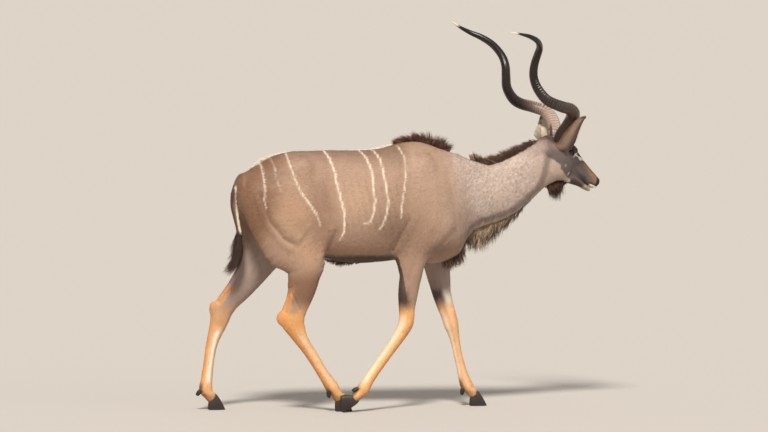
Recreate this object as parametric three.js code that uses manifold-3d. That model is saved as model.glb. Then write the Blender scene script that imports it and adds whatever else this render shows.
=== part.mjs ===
// Greater kudu bull, life size, walking, in millimetres.
// +X is the way it walks, +Y its left side, +Z up, with the soles at z = 0.

import * as THREE from 'three';
import { mergeVertices } from 'three/addons/utils/BufferGeometryUtils.js';
import Module from 'manifold-3d';

const wasm = await Module();
wasm.setup();

// Driving dimensions

const GAP = 0.3; // between two nodes that touch
const BODY_SHIFT = [-12, 42]; // moves the animal's midline frame to the middle of its footprint

// Trunk sections: x, top, bottom, half width, how much narrower the top is than the bottom
const TRUNK = [
  [-850, 1282, 1045, 100, 0.05],
  [-800, 1312, 985, 132, 0.05],
  [-700, 1368, 930, 163, 0.08],
  [-600, 1394, 882, 178, 0.1],
  [-500, 1397, 838, 188, 0.1],
  [-391, 1399, 803, 197, 0.12],
  [-244, 1397, 784, 206, 0.14],
  [-109, 1405, 790, 205, 0.2],
  [0, 1435, 801, 194, 0.28],
  [109, 1437, 806, 176, 0.34],
  [217, 1392, 812, 154, 0.3],
  [300, 1345, 828, 128, 0.15],
];
const TRUNK_CAPS = [55, 70]; // how far the rump and the chest round out past the end sections
const TRUNK_SQUARENESS = 2.25;

// Neck and limbs: x, z, y, half depth, half width, from the trunk outwards
const NECK = [
  [215, 1125, 0, 235, 118],
  [331, 1141, 0, 212, 108],
  [399, 1143, 3, 190, 98],
  [480, 1146, 9, 166, 86],
  [548, 1167, 15, 156, 78],
  [645, 1224, 26, 136, 72],
  [725, 1278, 40, 124, 68],
  [785, 1312, 50, 124, 64],
  [830, 1322, 60, 112, 58],
];
const TAIL = [
  [-862, 1222, 0, 30, 30],
  [-888, 1180, 0, 27, 26],
  [-897, 1106, 0, 25, 24],
  [-882, 1025, 0, 21, 21],
  [-868, 950, 0, 18, 18],
  [-860, 890, 0, 15, 15],
  [-864, 840, 0, 11, 11],
];
const HIND_RIGHT = [
  [-655, 1180, -82, 165, 78],
  [-632, 1030, -104, 200, 82],
  [-598, 911, -116, 178, 76],
  [-562, 850, -122, 142, 70],
  [-538, 795, -126, 114, 61],
  [-543, 736, -129, 92, 52],
  [-552, 683, -131, 83, 46],
  [-567, 629, -132, 75, 40],
  [-586, 576, -133, 68, 35],
  [-602, 531, -134, 67, 34],
  [-606, 492, -134, 66, 35],
  [-586, 446, -131, 53, 32],
  [-558, 393, -126, 40, 27],
  [-521, 339, -119, 34, 24],
  [-480, 277, -111, 32, 23],
  [-438, 209, -101, 31, 23],
  [-408, 166, -95, 35, 27],
  [-386, 132, -90, 38, 30],
  [-362, 98, -85, 31, 27],
  [-341, 68, -80, 33, 30],
];
const HIND_LEFT = [
  [-672, 1180, 82, 165, 78],
  [-682, 1010, 104, 178, 82],
  [-706, 885, 116, 142, 75],
  [-743, 807, 122, 108, 65],
  [-789, 730, 127, 87, 54],
  [-849, 648, 131, 71, 44],
  [-903, 587, 133, 61, 36],
  [-938, 537, 134, 58, 34],
  [-955, 490, 134, 54, 35],
  [-968, 446, 133, 46, 31],
  [-990, 384, 132, 36, 27],
  [-1006, 320, 131, 31, 24],
  [-1018, 240, 130, 30, 23],
  [-1028, 162, 129, 33, 26],
  [-1033, 112, 128, 38, 30],
  [-1016, 82, 127, 31, 27],
  [-996, 62, 126, 33, 30],
];
const FORE_RIGHT = [
  [135, 1180, -84, 120, 60],
  [150, 1060, -104, 128, 64],
  [105, 950, -118, 122, 62],
  [60, 875, -123, 102, 57],
  [40, 812, -125, 87, 51],
  [37, 768, -125, 75, 46],
  [36, 728, -124, 65, 42],
  [29, 685, -123, 60, 38],
  [21, 621, -121, 55, 34],
  [16, 551, -119, 46, 31],
  [16, 505, -118, 43, 33],
  [8, 462, -117, 42, 34],
  [-18, 412, -118, 36, 29],
  [-74, 334, -124, 31, 23],
  [-127, 264, -130, 30, 22],
  [-178, 195, -136, 30, 23],
  [-206, 152, -140, 32, 27],
  [-226, 122, -143, 36, 30],
  [-252, 94, -145, 29, 26],
  [-276, 72, -148, 31, 29],
];
const FORE_LEFT = [
  [175, 1180, 84, 120, 60],
  [205, 1050, 102, 122, 62],
  [214, 940, 116, 116, 60],
  [212, 870, 121, 100, 56],
  [215, 815, 124, 84, 50],
  [223, 760, 124, 75, 45],
  [231, 710, 123, 68, 41],
  [239, 663, 122, 61, 37],
  [248, 610, 121, 53, 34],
  [268, 540, 119, 47, 31],
  [285, 491, 118, 43, 33],
  [299, 440, 117, 41, 34],
  [311, 395, 116, 33, 29],
  [322, 346, 115, 27, 23],
  [334, 285, 115, 25, 22],
  [350, 218, 114, 26, 22],
  [367, 155, 113, 31, 26],
  [383, 112, 113, 36, 30],
  [404, 82, 113, 29, 26],
  [424, 60, 112, 31, 29],
];

// Rounded masses of shoulders, hips, chest and hocks: centre x, y, z, half sizes x, y, z, pitch in degrees
const MASSES = [
  [205, 0, 850, 120, 62, 72, 12],
  [90, -92, 1215, 92, 70, 165, -12],
  [110, 92, 1215, 92, 70, 165, -12],
  [-560, -105, 1300, 70, 62, 62, 0],
  [-560, 105, 1300, 70, 62, 62, 0],
  [-765, -92, 1090, 100, 74, 150, 14],
  [-775, 92, 1080, 95, 74, 150, 10],
];
const HOCKS = [
  [-668, -134, 508, 26, 17, 34, 0],
  [-991, 134, 546, 22, 17, 34, 0],
];

// How far the parts of the body blend into each other
const BLEND = { neck: 90, mass: 45, legs: 18, limb: 50, hock: 24, head: 40, jaw: 14, face: 18 };

// Head frame: the poll, how far it is turned and how far the face slopes down
const POLL = [813, 55, 1444];
const HEAD_YAW = 15;
const HEAD_PITCH = 37;

// Head sections along the face: distance from the poll, top, bottom, half width, taper
const SKULL = [
  [15, 20, -100, 50, 0],
  [60, 43, -108, 61, 0.05],
  [100, 54, -112, 66, 0.1],
  [135, 55, -108, 66, 0.12],
  [170, 47, -100, 58, 0.1],
  [205, 37, -95, 48, 0.05],
  [240, 27, -90, 42, 0],
  [280, 18, -84, 38, 0],
  [320, 10, -76, 36, 0],
  [354, 4, -71, 35, 0],
  [375, -7, -64, 32, 0],
];
const SKULL_CAPS = [40, 16];
const JAW = [
  [115, -70, -166, 42, 0],
  [150, -70, -162, 43, 0],
  [190, -72, -149, 39, 0],
  [230, -72, -136, 34, 0],
  [270, -72, -121, 31, 0],
  [310, -72, -107, 29, 0],
  [344, -72, -102, 28, 0],
  [363, -74, -97, 25, 0],
];
const JAW_CAPS = [35, 14];
// Masses on the head, in its own frame: along, side, up, half sizes; those off the middle are on both sides
const HEAD_MASSES = [
  [140, 38, -82, 66, 27, 64],
  [138, 54, 22, 36, 22, 24],
  [176, 48, -12, 40, 18, 20],
  [60, 45, 34, 42, 36, 26],
  [373, 0, -33, 24, 30, 30],
];
const EYE = [138, 53, 3];
const EYE_RADIUS = 18.5;

// Ears in the head's frame: root, tip and the way the cup opens, the left one backwards
const EAR_ROOT = [40, 58, 6];
const EARS = {
  right: { tip: [32, 212, 175], facing: [0.936, -0.235, 0.257] },
  left: { tip: [-8, 228, 118], facing: [-0.85, -0.25, 0.1] },
};

// Horns: forward, outward, up from the middle of the forehead, and half thickness
const HORN_ORIGIN = [873, 70, 1458];
const HORN_RIGHT = [
  [-8, 42, -40, 36],
  [0, 46, 0, 38],
  [24, 76, 53, 37],
  [28, 120, 107, 35],
  [-10, 168, 145, 34],
  [-62, 190, 160, 33],
  [-114, 198, 178, 31],
  [-159, 196, 200, 30],
  [-190, 182, 236, 28],
  [-209, 165, 276, 26],
  [-219, 155, 318, 24.5],
  [-222, 158, 360, 23.5],
  [-221, 174, 404, 22],
  [-223, 208, 446, 21],
  [-234, 258, 490, 19.5],
  [-274, 315, 526, 17.5],
  [-334, 356, 553, 14],
  [-394, 376, 569, 9],
  [-468, 390, 584, 3],
];
const HORN_LEFT = [
  [-8, 42, -40, 36],
  [0, 46, 0, 38],
  [8, 76, 42, 37.5],
  [8, 112, 86, 36],
  [-10, 152, 117, 35],
  [-62, 188, 138, 34],
  [-120, 200, 154, 33],
  [-165, 196, 177, 32],
  [-202, 182, 215, 30],
  [-227, 166, 257, 28.5],
  [-234, 158, 308, 27],
  [-234, 164, 360, 25.5],
  [-236, 190, 404, 24],
  [-246, 232, 444, 22.5],
  [-265, 284, 481, 21],
  [-302, 332, 512, 18.5],
  [-348, 364, 535, 14.5],
  [-400, 382, 564, 9.5],
  [-448, 392, 596, 3],
];

// Eyelids, mouth, lips and nostrils, in the head's frame
const LID = { halfLength: 15, halfHeight: 9.5, tilt: -3, radius: 3.4 };
const MOUTH = [[395, -58], [384, -61], [369, -66], [350, -71], [330, -73], [312, -73], [300, -68]];
const LIP = { apart: 5.6, radius: 4.3, groove: 3.2 };
const NOSTRIL = { path: [[397, 9, -23], [385, 17, -19], [373, 24, -15], [361, 30, -11]], radii: [3, 6.5, 5, 2] };

// Ears: half breadth, thickness, sections of place, breadth share and curl in degrees
const EAR = {
  halfBreadth: 56,
  thickness: 6,
  bend: 12,
  columns: 8,
  sections: [[-0.04, 0.78, 118], [0.08, 0.95, 108], [0.2, 1, 95], [0.36, 1, 80], [0.54, 0.88, 66], [0.72, 0.64, 55],
    [0.87, 0.36, 48], [0.96, 0.15, 45], [1, 0.05, 45]],
};
const HORN = { sides: 10, keel: 0.16, flatness: 0.9 };

// Long hair, one row per place along its root line: share of the line, x, y, z that its roots are cast from,
// lean from the way they are cast (forwards is positive, in degrees), length and width of a lock
const CREST = {
  count: 21, seed: 11, cast: 1, spread: 26, splay: 12, bend: -10,
  rows: [
    [0, -24, 0, 1330, -62, 44, 17],
    [0.3, 60, 0, 1330, -52, 62, 18],
    [0.55, 128, 0, 1320, -36, 78, 18],
    [0.7, 166, 0, 1300, -2, 74, 15],
    [0.84, 205, 0, 1280, 36, 76, 16],
    [1, 244, 0, 1250, 54, 76, 15],
  ],
};
const NAPE = {
  count: 22, seed: 23, cast: 1, spread: 20, splay: 10, bend: -14,
  rows: [
    [0, 398, 3, 1160, -12, 56, 19],
    [0.2, 452, 8, 1170, -20, 62, 19],
    [0.45, 546, 18, 1200, -34, 66, 20],
    [0.75, 662, 30, 1250, -44, 48, 20],
    [1, 742, 43, 1300, -52, 28, 18],
  ],
};
const THROAT = {
  count: 26, seed: 37, cast: -1, spread: 26, splay: 9, bend: -8,
  rows: [
    [0, 398, 4, 1120, -3, 128, 18],
    [0.18, 440, 8, 1120, -8, 152, 20],
    [0.42, 520, 12, 1140, -16, 140, 20],
    [0.68, 612, 22, 1190, -26, 104, 18],
    [0.86, 680, 32, 1240, -34, 70, 16],
    [1, 742, 42, 1280, -40, 38, 14],
  ],
};
const BRISKET = {
  count: 7, seed: 41, cast: -1, spread: 40, splay: 8, bend: -6,
  rows: [
    [0, 232, 0, 900, 4, 46, 17],
    [0.6, 300, 0, 930, 6, 84, 18],
    [1, 344, 0, 980, 8, 96, 18],
  ],
};
const BELLY = {
  count: 5, seed: 43, cast: -1, spread: 12, splay: 6, bend: -8,
  rows: [
    [0, -366, 0, 900, -24, 32, 12],
    [1, -286, 0, 900, -20, 40, 12],
  ],
};
const BEARD = {
  count: 9, seed: 53, cast: -1, spread: 34, splay: 8, bend: 0,
  rows: [
    [0, 815, 55, 1300, 16, 62, 14],
    [0.5, 858, 68, 1290, 2, 108, 16],
    [1, 905, 79, 1270, -18, 64, 14],
  ],
};
const TUFT = {
  count: 10, seed: 61, splay: 12, bend: -16,
  rows: [
    [0, -872, 0, 962, -6, 120, 18],
    [0.35, -864, 0, 912, -12, 150, 20],
    [0.7, -860, 0, 868, -20, 160, 20],
    [1, -862, 0, 846, -26, 150, 18],
  ],
};
// Sections of a lock: share of its length, share of its width, thickness as a share of the width
const LOCK = { sections: [[0, 0.8], [0.3, 1], [0.68, 0.72], [1, 0.05]], thickness: 0.3, sunk: 12 };

// Feet: height and slant of the hoof, lengths from its middle, breadth of each claw and the cleft between them
const FOOT = { height: 69, slant: 37, forward: 22, topHalf: 30, soleHalf: 46, clawTop: 12.5, clawSole: 13.5,
  cleft: 1.5, toePoint: 0.45, sides: 10 };
const DEWCLAW = { back: 2, down: 14, side: 15, length: 30, root: 10 };

// Where the nodes part
const HIND_CUT = { point: [-385, 0, 780], slope: 23.4 };
const FORE_CUT = { height: 790, inner: 46, back: -120, front: 335 };
const NECK_CUT = { point: [331, 0, 1141], pitch: 14.4 };
const HEAD_CUT = { point: [800, 50, 1310], yaw: 12 };

// How finely the skins are divided
const TRUNK_SIDES = 28;
const TRUNK_STEP = 42;
const LEG_SIDES = 11;
const NECK_SIDES = 20;
const HEAD_SIDES = 24;
const EYE_SIDES = 12;
const EYE_ROWS = 8;

// Small helpers

const rad = THREE.MathUtils.degToRad;
const vec = (x, y, z) => new THREE.Vector3(x, y, z);
const Y = vec(0, 1, 0);
const Z = vec(0, 0, 1);

function smoothMin(a, b, reach) {
  const h = Math.max(reach - Math.abs(a - b), 0) / reach;
  return Math.min(a, b) - (h * h * reach) / 4;
}

// Value of one column of a table of sections at a place between them, on a smooth curve
function column(table, index, at) {
  const last = table.length - 1;
  if (at <= table[0][0]) return table[0][index];
  if (at >= table[last][0]) return table[last][index];
  let i = 0;
  while (table[i + 1][0] < at) i++;
  const [a, b] = [table[i], table[i + 1]];
  const span = b[0] - a[0];
  const slope = (low, high) => (table[high][index] - table[low][index]) / (table[high][0] - table[low][0]);
  const startSlope = slope(Math.max(i - 1, 0), i + 1);
  const endSlope = slope(i, Math.min(i + 2, last));
  const t = (at - a[0]) / span;
  const t2 = t * t;
  const t3 = t2 * t;
  return (2 * t3 - 3 * t2 + 1) * a[index] + (t3 - 2 * t2 + t) * span * startSlope
    + (3 * t2 - 2 * t3) * b[index] + (t3 - t2) * span * endSlope;
}

// Rows of a table of stations with smooth ones put in between
function refine(stations, pieces) {
  const rows = [];
  for (let i = 0; i < stations.length - 1; i++) {
    const before = stations[Math.max(i - 1, 0)];
    const a = stations[i];
    const b = stations[i + 1];
    const after = stations[Math.min(i + 2, stations.length - 1)];
    for (let k = 0; k < pieces; k++) {
      const t = k / pieces;
      rows.push(a.map((value, j) => {
        const m0 = (b[j] - before[j]) / 2;
        const m1 = (after[j] - a[j]) / 2;
        const t2 = t * t;
        const t3 = t2 * t;
        return (2 * t3 - 3 * t2 + 1) * value + (t3 - 2 * t2 + t) * m0 + (3 * t2 - 2 * t3) * b[j] + (t3 - t2) * m1;
      }));
    }
  }
  rows.push(stations[stations.length - 1]);
  return rows;
}

// Distance fields: negative inside, close to millimetres near the surface

function ellipsoidDistance(qx, qy, qz, rx, ry, rz) {
  const near = Math.hypot(qx / rx, qy / ry, qz / rz);
  const steep = Math.hypot(qx / rx ** 2, qy / ry ** 2, qz / rz ** 2);
  return steep < 1e-9 ? -Math.min(rx, ry, rz) : (near * (near - 1)) / steep;
}

// A tube along one axis whose top, bottom and width follow a table of sections
function sectionTube(table, caps, squareness) {
  const start = table[0][0];
  const end = table[table.length - 1][0];
  return (along, side, up) => {
    const at = Math.min(Math.max(along, start), end);
    const top = column(table, 1, at);
    const bottom = column(table, 2, at);
    const height = (top - bottom) / 2;
    const v = (up - (top + bottom) / 2) / height;
    const breadth = column(table, 3, at) * (1 - column(table, 4, at) * Math.min(Math.max(v, -1), 1));
    const past = (along - at) / (along < at ? caps[0] : caps[1]);
    const round = Math.pow(
      Math.pow(Math.abs(side / breadth), squareness) + Math.pow(Math.abs(v), squareness), 1 / squareness);
    const reach = Math.hypot(round, past);
    const size = 1 / Math.hypot(side / breadth, v, past) * Math.hypot(side, v * height, along - at);
    return (reach - 1) * (Number.isFinite(size) && size > 0 ? size : Math.min(height, breadth));
  };
}

// A limb through stations of x, z, y, half depth and half width
function limbField(stations) {
  const rows = refine(stations, 3);
  const bones = rows.slice(1).map((b, i) => {
    const a = rows[i];
    const length = Math.hypot(b[0] - a[0], b[1] - a[1], b[2] - a[2]);
    const axis = vec(b[0] - a[0], b[2] - a[2], b[1] - a[1]).divideScalar(length);
    const depthAxis = vec(-axis.z, 0, axis.x).normalize();
    const widthAxis = vec().crossVectors(depthAxis, axis);
    return { a, b, length, axis, depthAxis, widthAxis };
  });
  return (x, y, z) => {
    let best = Infinity;
    for (const { a, b, length, axis, depthAxis, widthAxis } of bones) {
      const px = x - a[0];
      const py = y - a[2];
      const pz = z - a[1];
      const s = px * axis.x + py * axis.y + pz * axis.z;
      const t = Math.min(Math.max(s / length, 0), 1);
      const depth = a[3] + (b[3] - a[3]) * t;
      const width = a[4] + (b[4] - a[4]) * t;
      best = Math.min(best, ellipsoidDistance(
        s - t * length,
        px * widthAxis.x + py * widthAxis.y + pz * widthAxis.z,
        px * depthAxis.x + py * depthAxis.y + pz * depthAxis.z,
        Math.min(depth, width) * 0.8, width, depth));
    }
    return best;
  };
}

const headTurn = new THREE.Matrix4().makeBasis(
  vec(Math.cos(rad(HEAD_PITCH)) * Math.cos(rad(HEAD_YAW)),
    Math.cos(rad(HEAD_PITCH)) * Math.sin(rad(HEAD_YAW)), -Math.sin(rad(HEAD_PITCH))),
  vec(-Math.sin(rad(HEAD_YAW)), Math.cos(rad(HEAD_YAW)), 0),
  vec(Math.sin(rad(HEAD_PITCH)) * Math.cos(rad(HEAD_YAW)),
    Math.sin(rad(HEAD_PITCH)) * Math.sin(rad(HEAD_YAW)), Math.cos(rad(HEAD_PITCH))));
const headFrame = headTurn.clone().setPosition(...POLL);
const headFrameBack = headFrame.clone().invert();
const fromHead = (along, side, up) => vec(along, side, up).applyMatrix4(headFrame);

const skullTube = sectionTube(SKULL, SKULL_CAPS, 2.3);
const jawTube = sectionTube(JAW, JAW_CAPS, 2.2);

function headField(x, y, z) {
  const p = vec(x, y, z).applyMatrix4(headFrameBack);
  let d = smoothMin(skullTube(p.x, p.y, p.z), jawTube(p.x, p.y, p.z), BLEND.jaw);
  for (const [along, side, up, rx, ry, rz] of HEAD_MASSES) {
    const across = side === 0 ? p.y : Math.abs(p.y) - side;
    d = smoothMin(d, ellipsoidDistance(p.x - along, across, p.z - up, rx, ry, rz), BLEND.face);
  }
  return d;
}

const trunkTube = sectionTube(TRUNK, TRUNK_CAPS, TRUNK_SQUARENESS);
const neckField = limbField(NECK);
const limbPairs = [[HIND_RIGHT, HIND_LEFT], [FORE_RIGHT, FORE_LEFT]].map((pair) => pair.map(limbField));

function massField([mx, my, mz, rx, ry, rz, pitch], x, y, z) {
  const c = Math.cos(rad(pitch));
  const s = Math.sin(rad(pitch));
  const qx = (x - mx) * c + (z - mz) * s;
  const qz = (z - mz) * c - (x - mx) * s;
  return ellipsoidDistance(qx, y - my, qz, rx, ry, rz);
}

function bodyField(x, y, z) {
  let d = smoothMin(trunkTube(x, y, z), neckField(x, y, z), BLEND.neck);
  for (const mass of MASSES) d = smoothMin(d, massField(mass, x, y, z), BLEND.mass);
  for (const [right, left] of limbPairs) {
    d = smoothMin(d, smoothMin(right(x, y, z), left(x, y, z), BLEND.legs), BLEND.limb);
  }
  for (const hock of HOCKS) d = smoothMin(d, massField(hock, x, y, z), BLEND.hock);
  return smoothMin(d, headField(x, y, z), BLEND.head);
}

// Meshes

// Distance from a section's centre to the surface along one direction
function castRay(centre, direction, field, reach) {
  const value = (r) => field(centre.x + direction.x * r, centre.y + direction.y * r, centre.z + direction.z * r);
  const step = 8;
  let low = 0;
  let high = step;
  while (high < reach && value(high) < 0) {
    low = high;
    high += step;
  }
  if (high >= reach) return reach;
  for (let i = 0; i < 16; i++) {
    const middle = (low + high) / 2;
    if (value(middle) < 0) low = middle;
    else high = middle;
  }
  return (low + high) / 2;
}

function closedGeometry(points, triangles) {
  const geometry = new THREE.BufferGeometry();
  geometry.setAttribute('position', new THREE.Float32BufferAttribute(points.flatMap((p) => [p.x, p.y, p.z]), 3));
  geometry.setIndex(triangles);
  return geometry;
}

function signedVolume(points, triangles) {
  let sum = 0;
  for (let i = 0; i < triangles.length; i += 3) {
    const [a, b, c] = [points[triangles[i]], points[triangles[i + 1]], points[triangles[i + 2]]];
    sum += a.dot(vec().crossVectors(b, c));
  }
  return sum / 6;
}

// A closed skin through rings of equally many points, with both ends closed by a fan
function skinRings(rings) {
  const count = rings[0].length;
  const points = rings.flat();
  const triangles = [];
  for (let r = 0; r < rings.length - 1; r++) {
    for (let k = 0; k < count; k++) {
      const a = r * count + k;
      const b = r * count + ((k + 1) % count);
      const [c, d] = [a + count, b + count];
      if (points[a].distanceTo(points[d]) < points[b].distanceTo(points[c])) triangles.push(a, b, d, a, d, c);
      else triangles.push(a, b, c, b, d, c);
    }
  }
  for (const end of [0, rings.length - 1]) {
    const centre = vec();
    for (const p of rings[end]) centre.addScaledVector(p, 1 / count);
    const hub = points.push(centre) - 1;
    for (let k = 0; k < count; k++) {
      const a = end * count + k;
      const b = end * count + ((k + 1) % count);
      triangles.push(...(end === 0 ? [b, a, hub] : [a, b, hub]));
    }
  }
  if (signedVolume(points, triangles) < 0) triangles.reverse();
  return closedGeometry(points, triangles);
}

// Rings where a field's surface is, round sections given as { centre, across, upward, size: [across, upward] }
function fieldRings(sections, sectors, field) {
  return sections.map(({ centre, across, upward, size }) => Array.from({ length: sectors }, (_, k) => {
    const angle = ((k + 0.5) / sectors) * 2 * Math.PI;
    const direction = across.clone().multiplyScalar(size[0] * Math.cos(angle))
      .addScaledVector(upward, size[1] * Math.sin(angle)).normalize();
    return centre.clone().addScaledVector(direction, castRay(centre, direction, field, 2.2 * Math.max(...size)));
  }));
}

function toSolid(geometry) {
  const bare = geometry.clone();
  bare.deleteAttribute('normal');
  bare.deleteAttribute('uv');
  const merged = mergeVertices(bare, 1e-4);
  return new wasm.Manifold(new wasm.Mesh({
    numProp: 3,
    vertProperties: new Float32Array(merged.attributes.position.array),
    triVerts: new Uint32Array(merged.index.array),
  }));
}

// Only the largest closed surface of a solid, which fills sealed hollows and drops scraps
function largestSurface(solid) {
  const pieces = solid.decompose();
  pieces.sort((a, b) => b.volume() - a.volume());
  return pieces[0];
}

function toGeometry(solid) {
  const mesh = largestSurface(solid).getMesh();
  const geometry = new THREE.BufferGeometry();
  geometry.setAttribute('position', new THREE.BufferAttribute(new Float32Array(mesh.vertProperties), 3));
  geometry.setIndex(Array.from(mesh.triVerts));
  return geometry;
}

// A large block whose face passes through a point, on the side that the normal points to
function blockBeyond(point, normal) {
  const size = 4000;
  const block = new THREE.BoxGeometry(size, size, size);
  const turn = new THREE.Quaternion().setFromUnitVectors(vec(0, 0, 1), normal.clone().normalize());
  block.translate(0, 0, size / 2).applyQuaternion(turn).translate(point.x, point.y, point.z);
  return toSolid(block);
}

function boxBetween(low, high) {
  const box = new THREE.BoxGeometry(high[0] - low[0], high[1] - low[1], high[2] - low[2]);
  return toSolid(box.translate((low[0] + high[0]) / 2, (low[1] + high[1]) / 2, (low[2] + high[2]) / 2));
}

// The same skin a little larger, so that a neighbour cut by it keeps the gap
function grown(geometry, distance) {
  const wider = geometry.clone();
  wider.computeVertexNormals();
  const position = wider.attributes.position;
  const normal = wider.attributes.normal;
  for (let i = 0; i < position.count; i++) {
    position.setXYZ(i, position.getX(i) + normal.getX(i) * distance,
      position.getY(i) + normal.getY(i) * distance, position.getZ(i) + normal.getZ(i) * distance);
  }
  return toSolid(wider);
}

// Trunk

const hindNormal = vec(Math.sin(rad(HIND_CUT.slope)), 0, Math.cos(rad(HIND_CUT.slope)));
const hindHeight = (x) => HIND_CUT.point[2] - (x - HIND_CUT.point[0]) * Math.tan(rad(HIND_CUT.slope));
const neckNormal = vec(Math.cos(rad(NECK_CUT.pitch)), 0, Math.sin(rad(NECK_CUT.pitch)));
const headNormal = vec(Math.cos(rad(HEAD_CUT.yaw)), Math.sin(rad(HEAD_CUT.yaw)), 0);

function trunkSolid() {
  const spare = 60;
  const legEdge = HIND_CUT.point[0] + 20;
  const floorHeight = (x) => (x < legEdge ? hindHeight(x) : FORE_CUT.height) - spare;
  const field = (x, y, z) => Math.max(bodyField(x, y, z), floorHeight(x) - z, x - 460);
  const places = [-904, -899, -888, -870, -846];
  for (let x = -814; x < 452; x += TRUNK_STEP) places.push(x);
  const sections = places.map((x) => {
    const top = column(TRUNK, 1, x);
    const bottom = column(TRUNK, 2, x);
    const centre = vec(x, 0, (top + bottom) / 2 + 20);
    return { centre, across: Y, upward: Z, size: [column(TRUNK, 3, x) + 40, (top - bottom) / 2] };
  });
  let solid = toSolid(skinRings(fieldRings(sections, TRUNK_SIDES, field)));
  const half = GAP / 2;
  const belowHind = blockBeyond(vec(...HIND_CUT.point).addScaledVector(hindNormal, half), hindNormal.clone().negate());
  solid = solid.subtract(belowHind.intersect(boxBetween([-1400, -600, 0], [legEdge, 600, 1400])));
  for (const side of [-1, 1]) {
    const walls = [side * (FORE_CUT.inner - half), side * 600];
    solid = solid.subtract(boxBetween([FORE_CUT.back, Math.min(...walls), 0],
      [FORE_CUT.front, Math.max(...walls), FORE_CUT.height + half]));
  }
  return solid.subtract(blockBeyond(vec(...NECK_CUT.point).addScaledVector(neckNormal, -half), neckNormal));
}

// Legs

// Sections square to a limb's line, the first one lying in the cut that parts the limb from the trunk
function limbSections(stations, cut) {
  const rows = refine(stations, 2);
  const depthBelow = (row) => vec(row[0], 0, row[1]).sub(cut.point).dot(cut.normal);
  const first = rows.findIndex((row) => depthBelow(row) < -cut.clearance);
  const kept = rows.slice(first);
  const crossing = rows.findIndex((row) => depthBelow(row) < 0);
  const [above, below] = [rows[crossing - 1], rows[crossing]];
  const share = depthBelow(above) / (depthBelow(above) - depthBelow(below));
  kept.unshift(above.map((value, j) => value + (below[j] - value) * share));
  const flat = vec(cut.normal.z, 0, -cut.normal.x);
  return kept.map((row, i) => {
    const before = kept[Math.max(i - 1, 0)];
    const after = kept[Math.min(i + 1, kept.length - 1)];
    const upward = vec(before[1] - after[1], 0, after[0] - before[0]).normalize();
    upward.lerp(flat, Math.max(0, 1 + depthBelow(row) / cut.turnLength)).normalize();
    const centre = vec(row[0], row[2], row[1]);
    if (i === 0) {
      upward.copy(flat);
      centre.addScaledVector(cut.normal, -depthBelow(row) - GAP / 2);
    }
    if (i === kept.length - 1) upward.copy(limbAxes(stations, stations.length - 1).ahead);
    return { centre, across: Y, upward, size: [row[4], row[3]] };
  });
}

function legGeometry(stations, side, cut) {
  const limit = cut.inner + GAP / 2;
  const field = (x, y, z) => Math.max(bodyField(x, y, z), limit - side * y);
  return skinRings(fieldRings(limbSections(stations, cut), LEG_SIDES, field));
}

const hindCut = { point: vec(...HIND_CUT.point), normal: hindNormal, inner: 1, clearance: 35, turnLength: 150 };
const foreCut = { point: vec(0, 0, FORE_CUT.height), normal: Z, inner: FORE_CUT.inner, clearance: 22, turnLength: 60 };

// Feet

// A limb's direction at one of its stations, and the direction that its front faces there
function limbAxes(stations, index) {
  const [a, b] = [stations[index - 1], stations[index]];
  const down = vec(b[0] - a[0], 0, b[1] - a[1]).normalize();
  return { down, ahead: vec(-down.z, 0, down.x) };
}

// One claw of a cloven hoof, from the hair line down to the sole
function clawGeometry(stations, outward) {
  const end = stations[stations.length - 1];
  const { down, ahead } = limbAxes(stations, stations.length - 1);
  const standing = down.x > 0;
  const slant = standing ? Math.atan2(down.x, -down.z) : rad(FOOT.slant);
  const height = standing ? end[1] : FOOT.height;
  const soleAhead = ahead.clone().multiplyScalar(Math.cos(slant)).addScaledVector(down, Math.sin(slant));
  const soleDown = down.clone().multiplyScalar(Math.cos(slant)).addScaledVector(ahead, -Math.sin(slant));
  const hairLine = vec(end[0], end[2], end[1]).addScaledVector(down, GAP);
  const rings = [0, 0.3, 0.65, 1].map((t) => {
    const tilt = slant * t;
    const along = ahead.clone().multiplyScalar(Math.cos(tilt)).addScaledVector(down, Math.sin(tilt));
    const centre = hairLine.clone().addScaledVector(soleAhead, FOOT.forward * t)
      .addScaledVector(soleDown, height * t);
    const half = FOOT.topHalf + (FOOT.soleHalf - FOOT.topHalf) * t;
    const breadth = FOOT.clawTop + (FOOT.clawSole - FOOT.clawTop) * t;
    return Array.from({ length: FOOT.sides }, (_, k) => {
      const angle = ((k + 0.5) / FOOT.sides) * 2 * Math.PI;
      const narrowing = 1 - FOOT.toePoint * t * Math.max(0, Math.cos(angle)) ** 2;
      const side = FOOT.cleft + breadth * (1 + Math.sin(angle) * narrowing);
      return centre.clone().addScaledVector(along, half * Math.cos(angle)).addScaledVector(Y, outward * side);
    });
  });
  if (standing) for (const p of rings[3]) p.z = 0;
  return skinRings(rings);
}

// A small horny claw behind the fetlock, tapering down and back
function dewclawGeometry(stations, outward) {
  const index = stations.length - 3;
  const fetlock = stations[index];
  const { down, ahead } = limbAxes(stations, index);
  const lean = down.clone().addScaledVector(ahead, -0.6).normalize();
  const across = vec().crossVectors(lean, Y);
  const start = vec(fetlock[0], fetlock[2] + outward * DEWCLAW.side, fetlock[1])
    .addScaledVector(ahead, -fetlock[3] + DEWCLAW.root - DEWCLAW.back).addScaledVector(down, DEWCLAW.down);
  return skinRings([[-0.2, 0.8], [0.35, 1], [1, 0.5]].map(([t, share]) => {
    const radius = DEWCLAW.root * share;
    return Array.from({ length: 6 }, (_, k) => {
      const angle = (k / 6) * 2 * Math.PI;
      return start.clone().addScaledVector(lean, DEWCLAW.length * t)
        .addScaledVector(across, radius * Math.cos(angle)).addScaledVector(Y, radius * Math.sin(angle));
    });
  }));
}

// Neck

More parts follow.
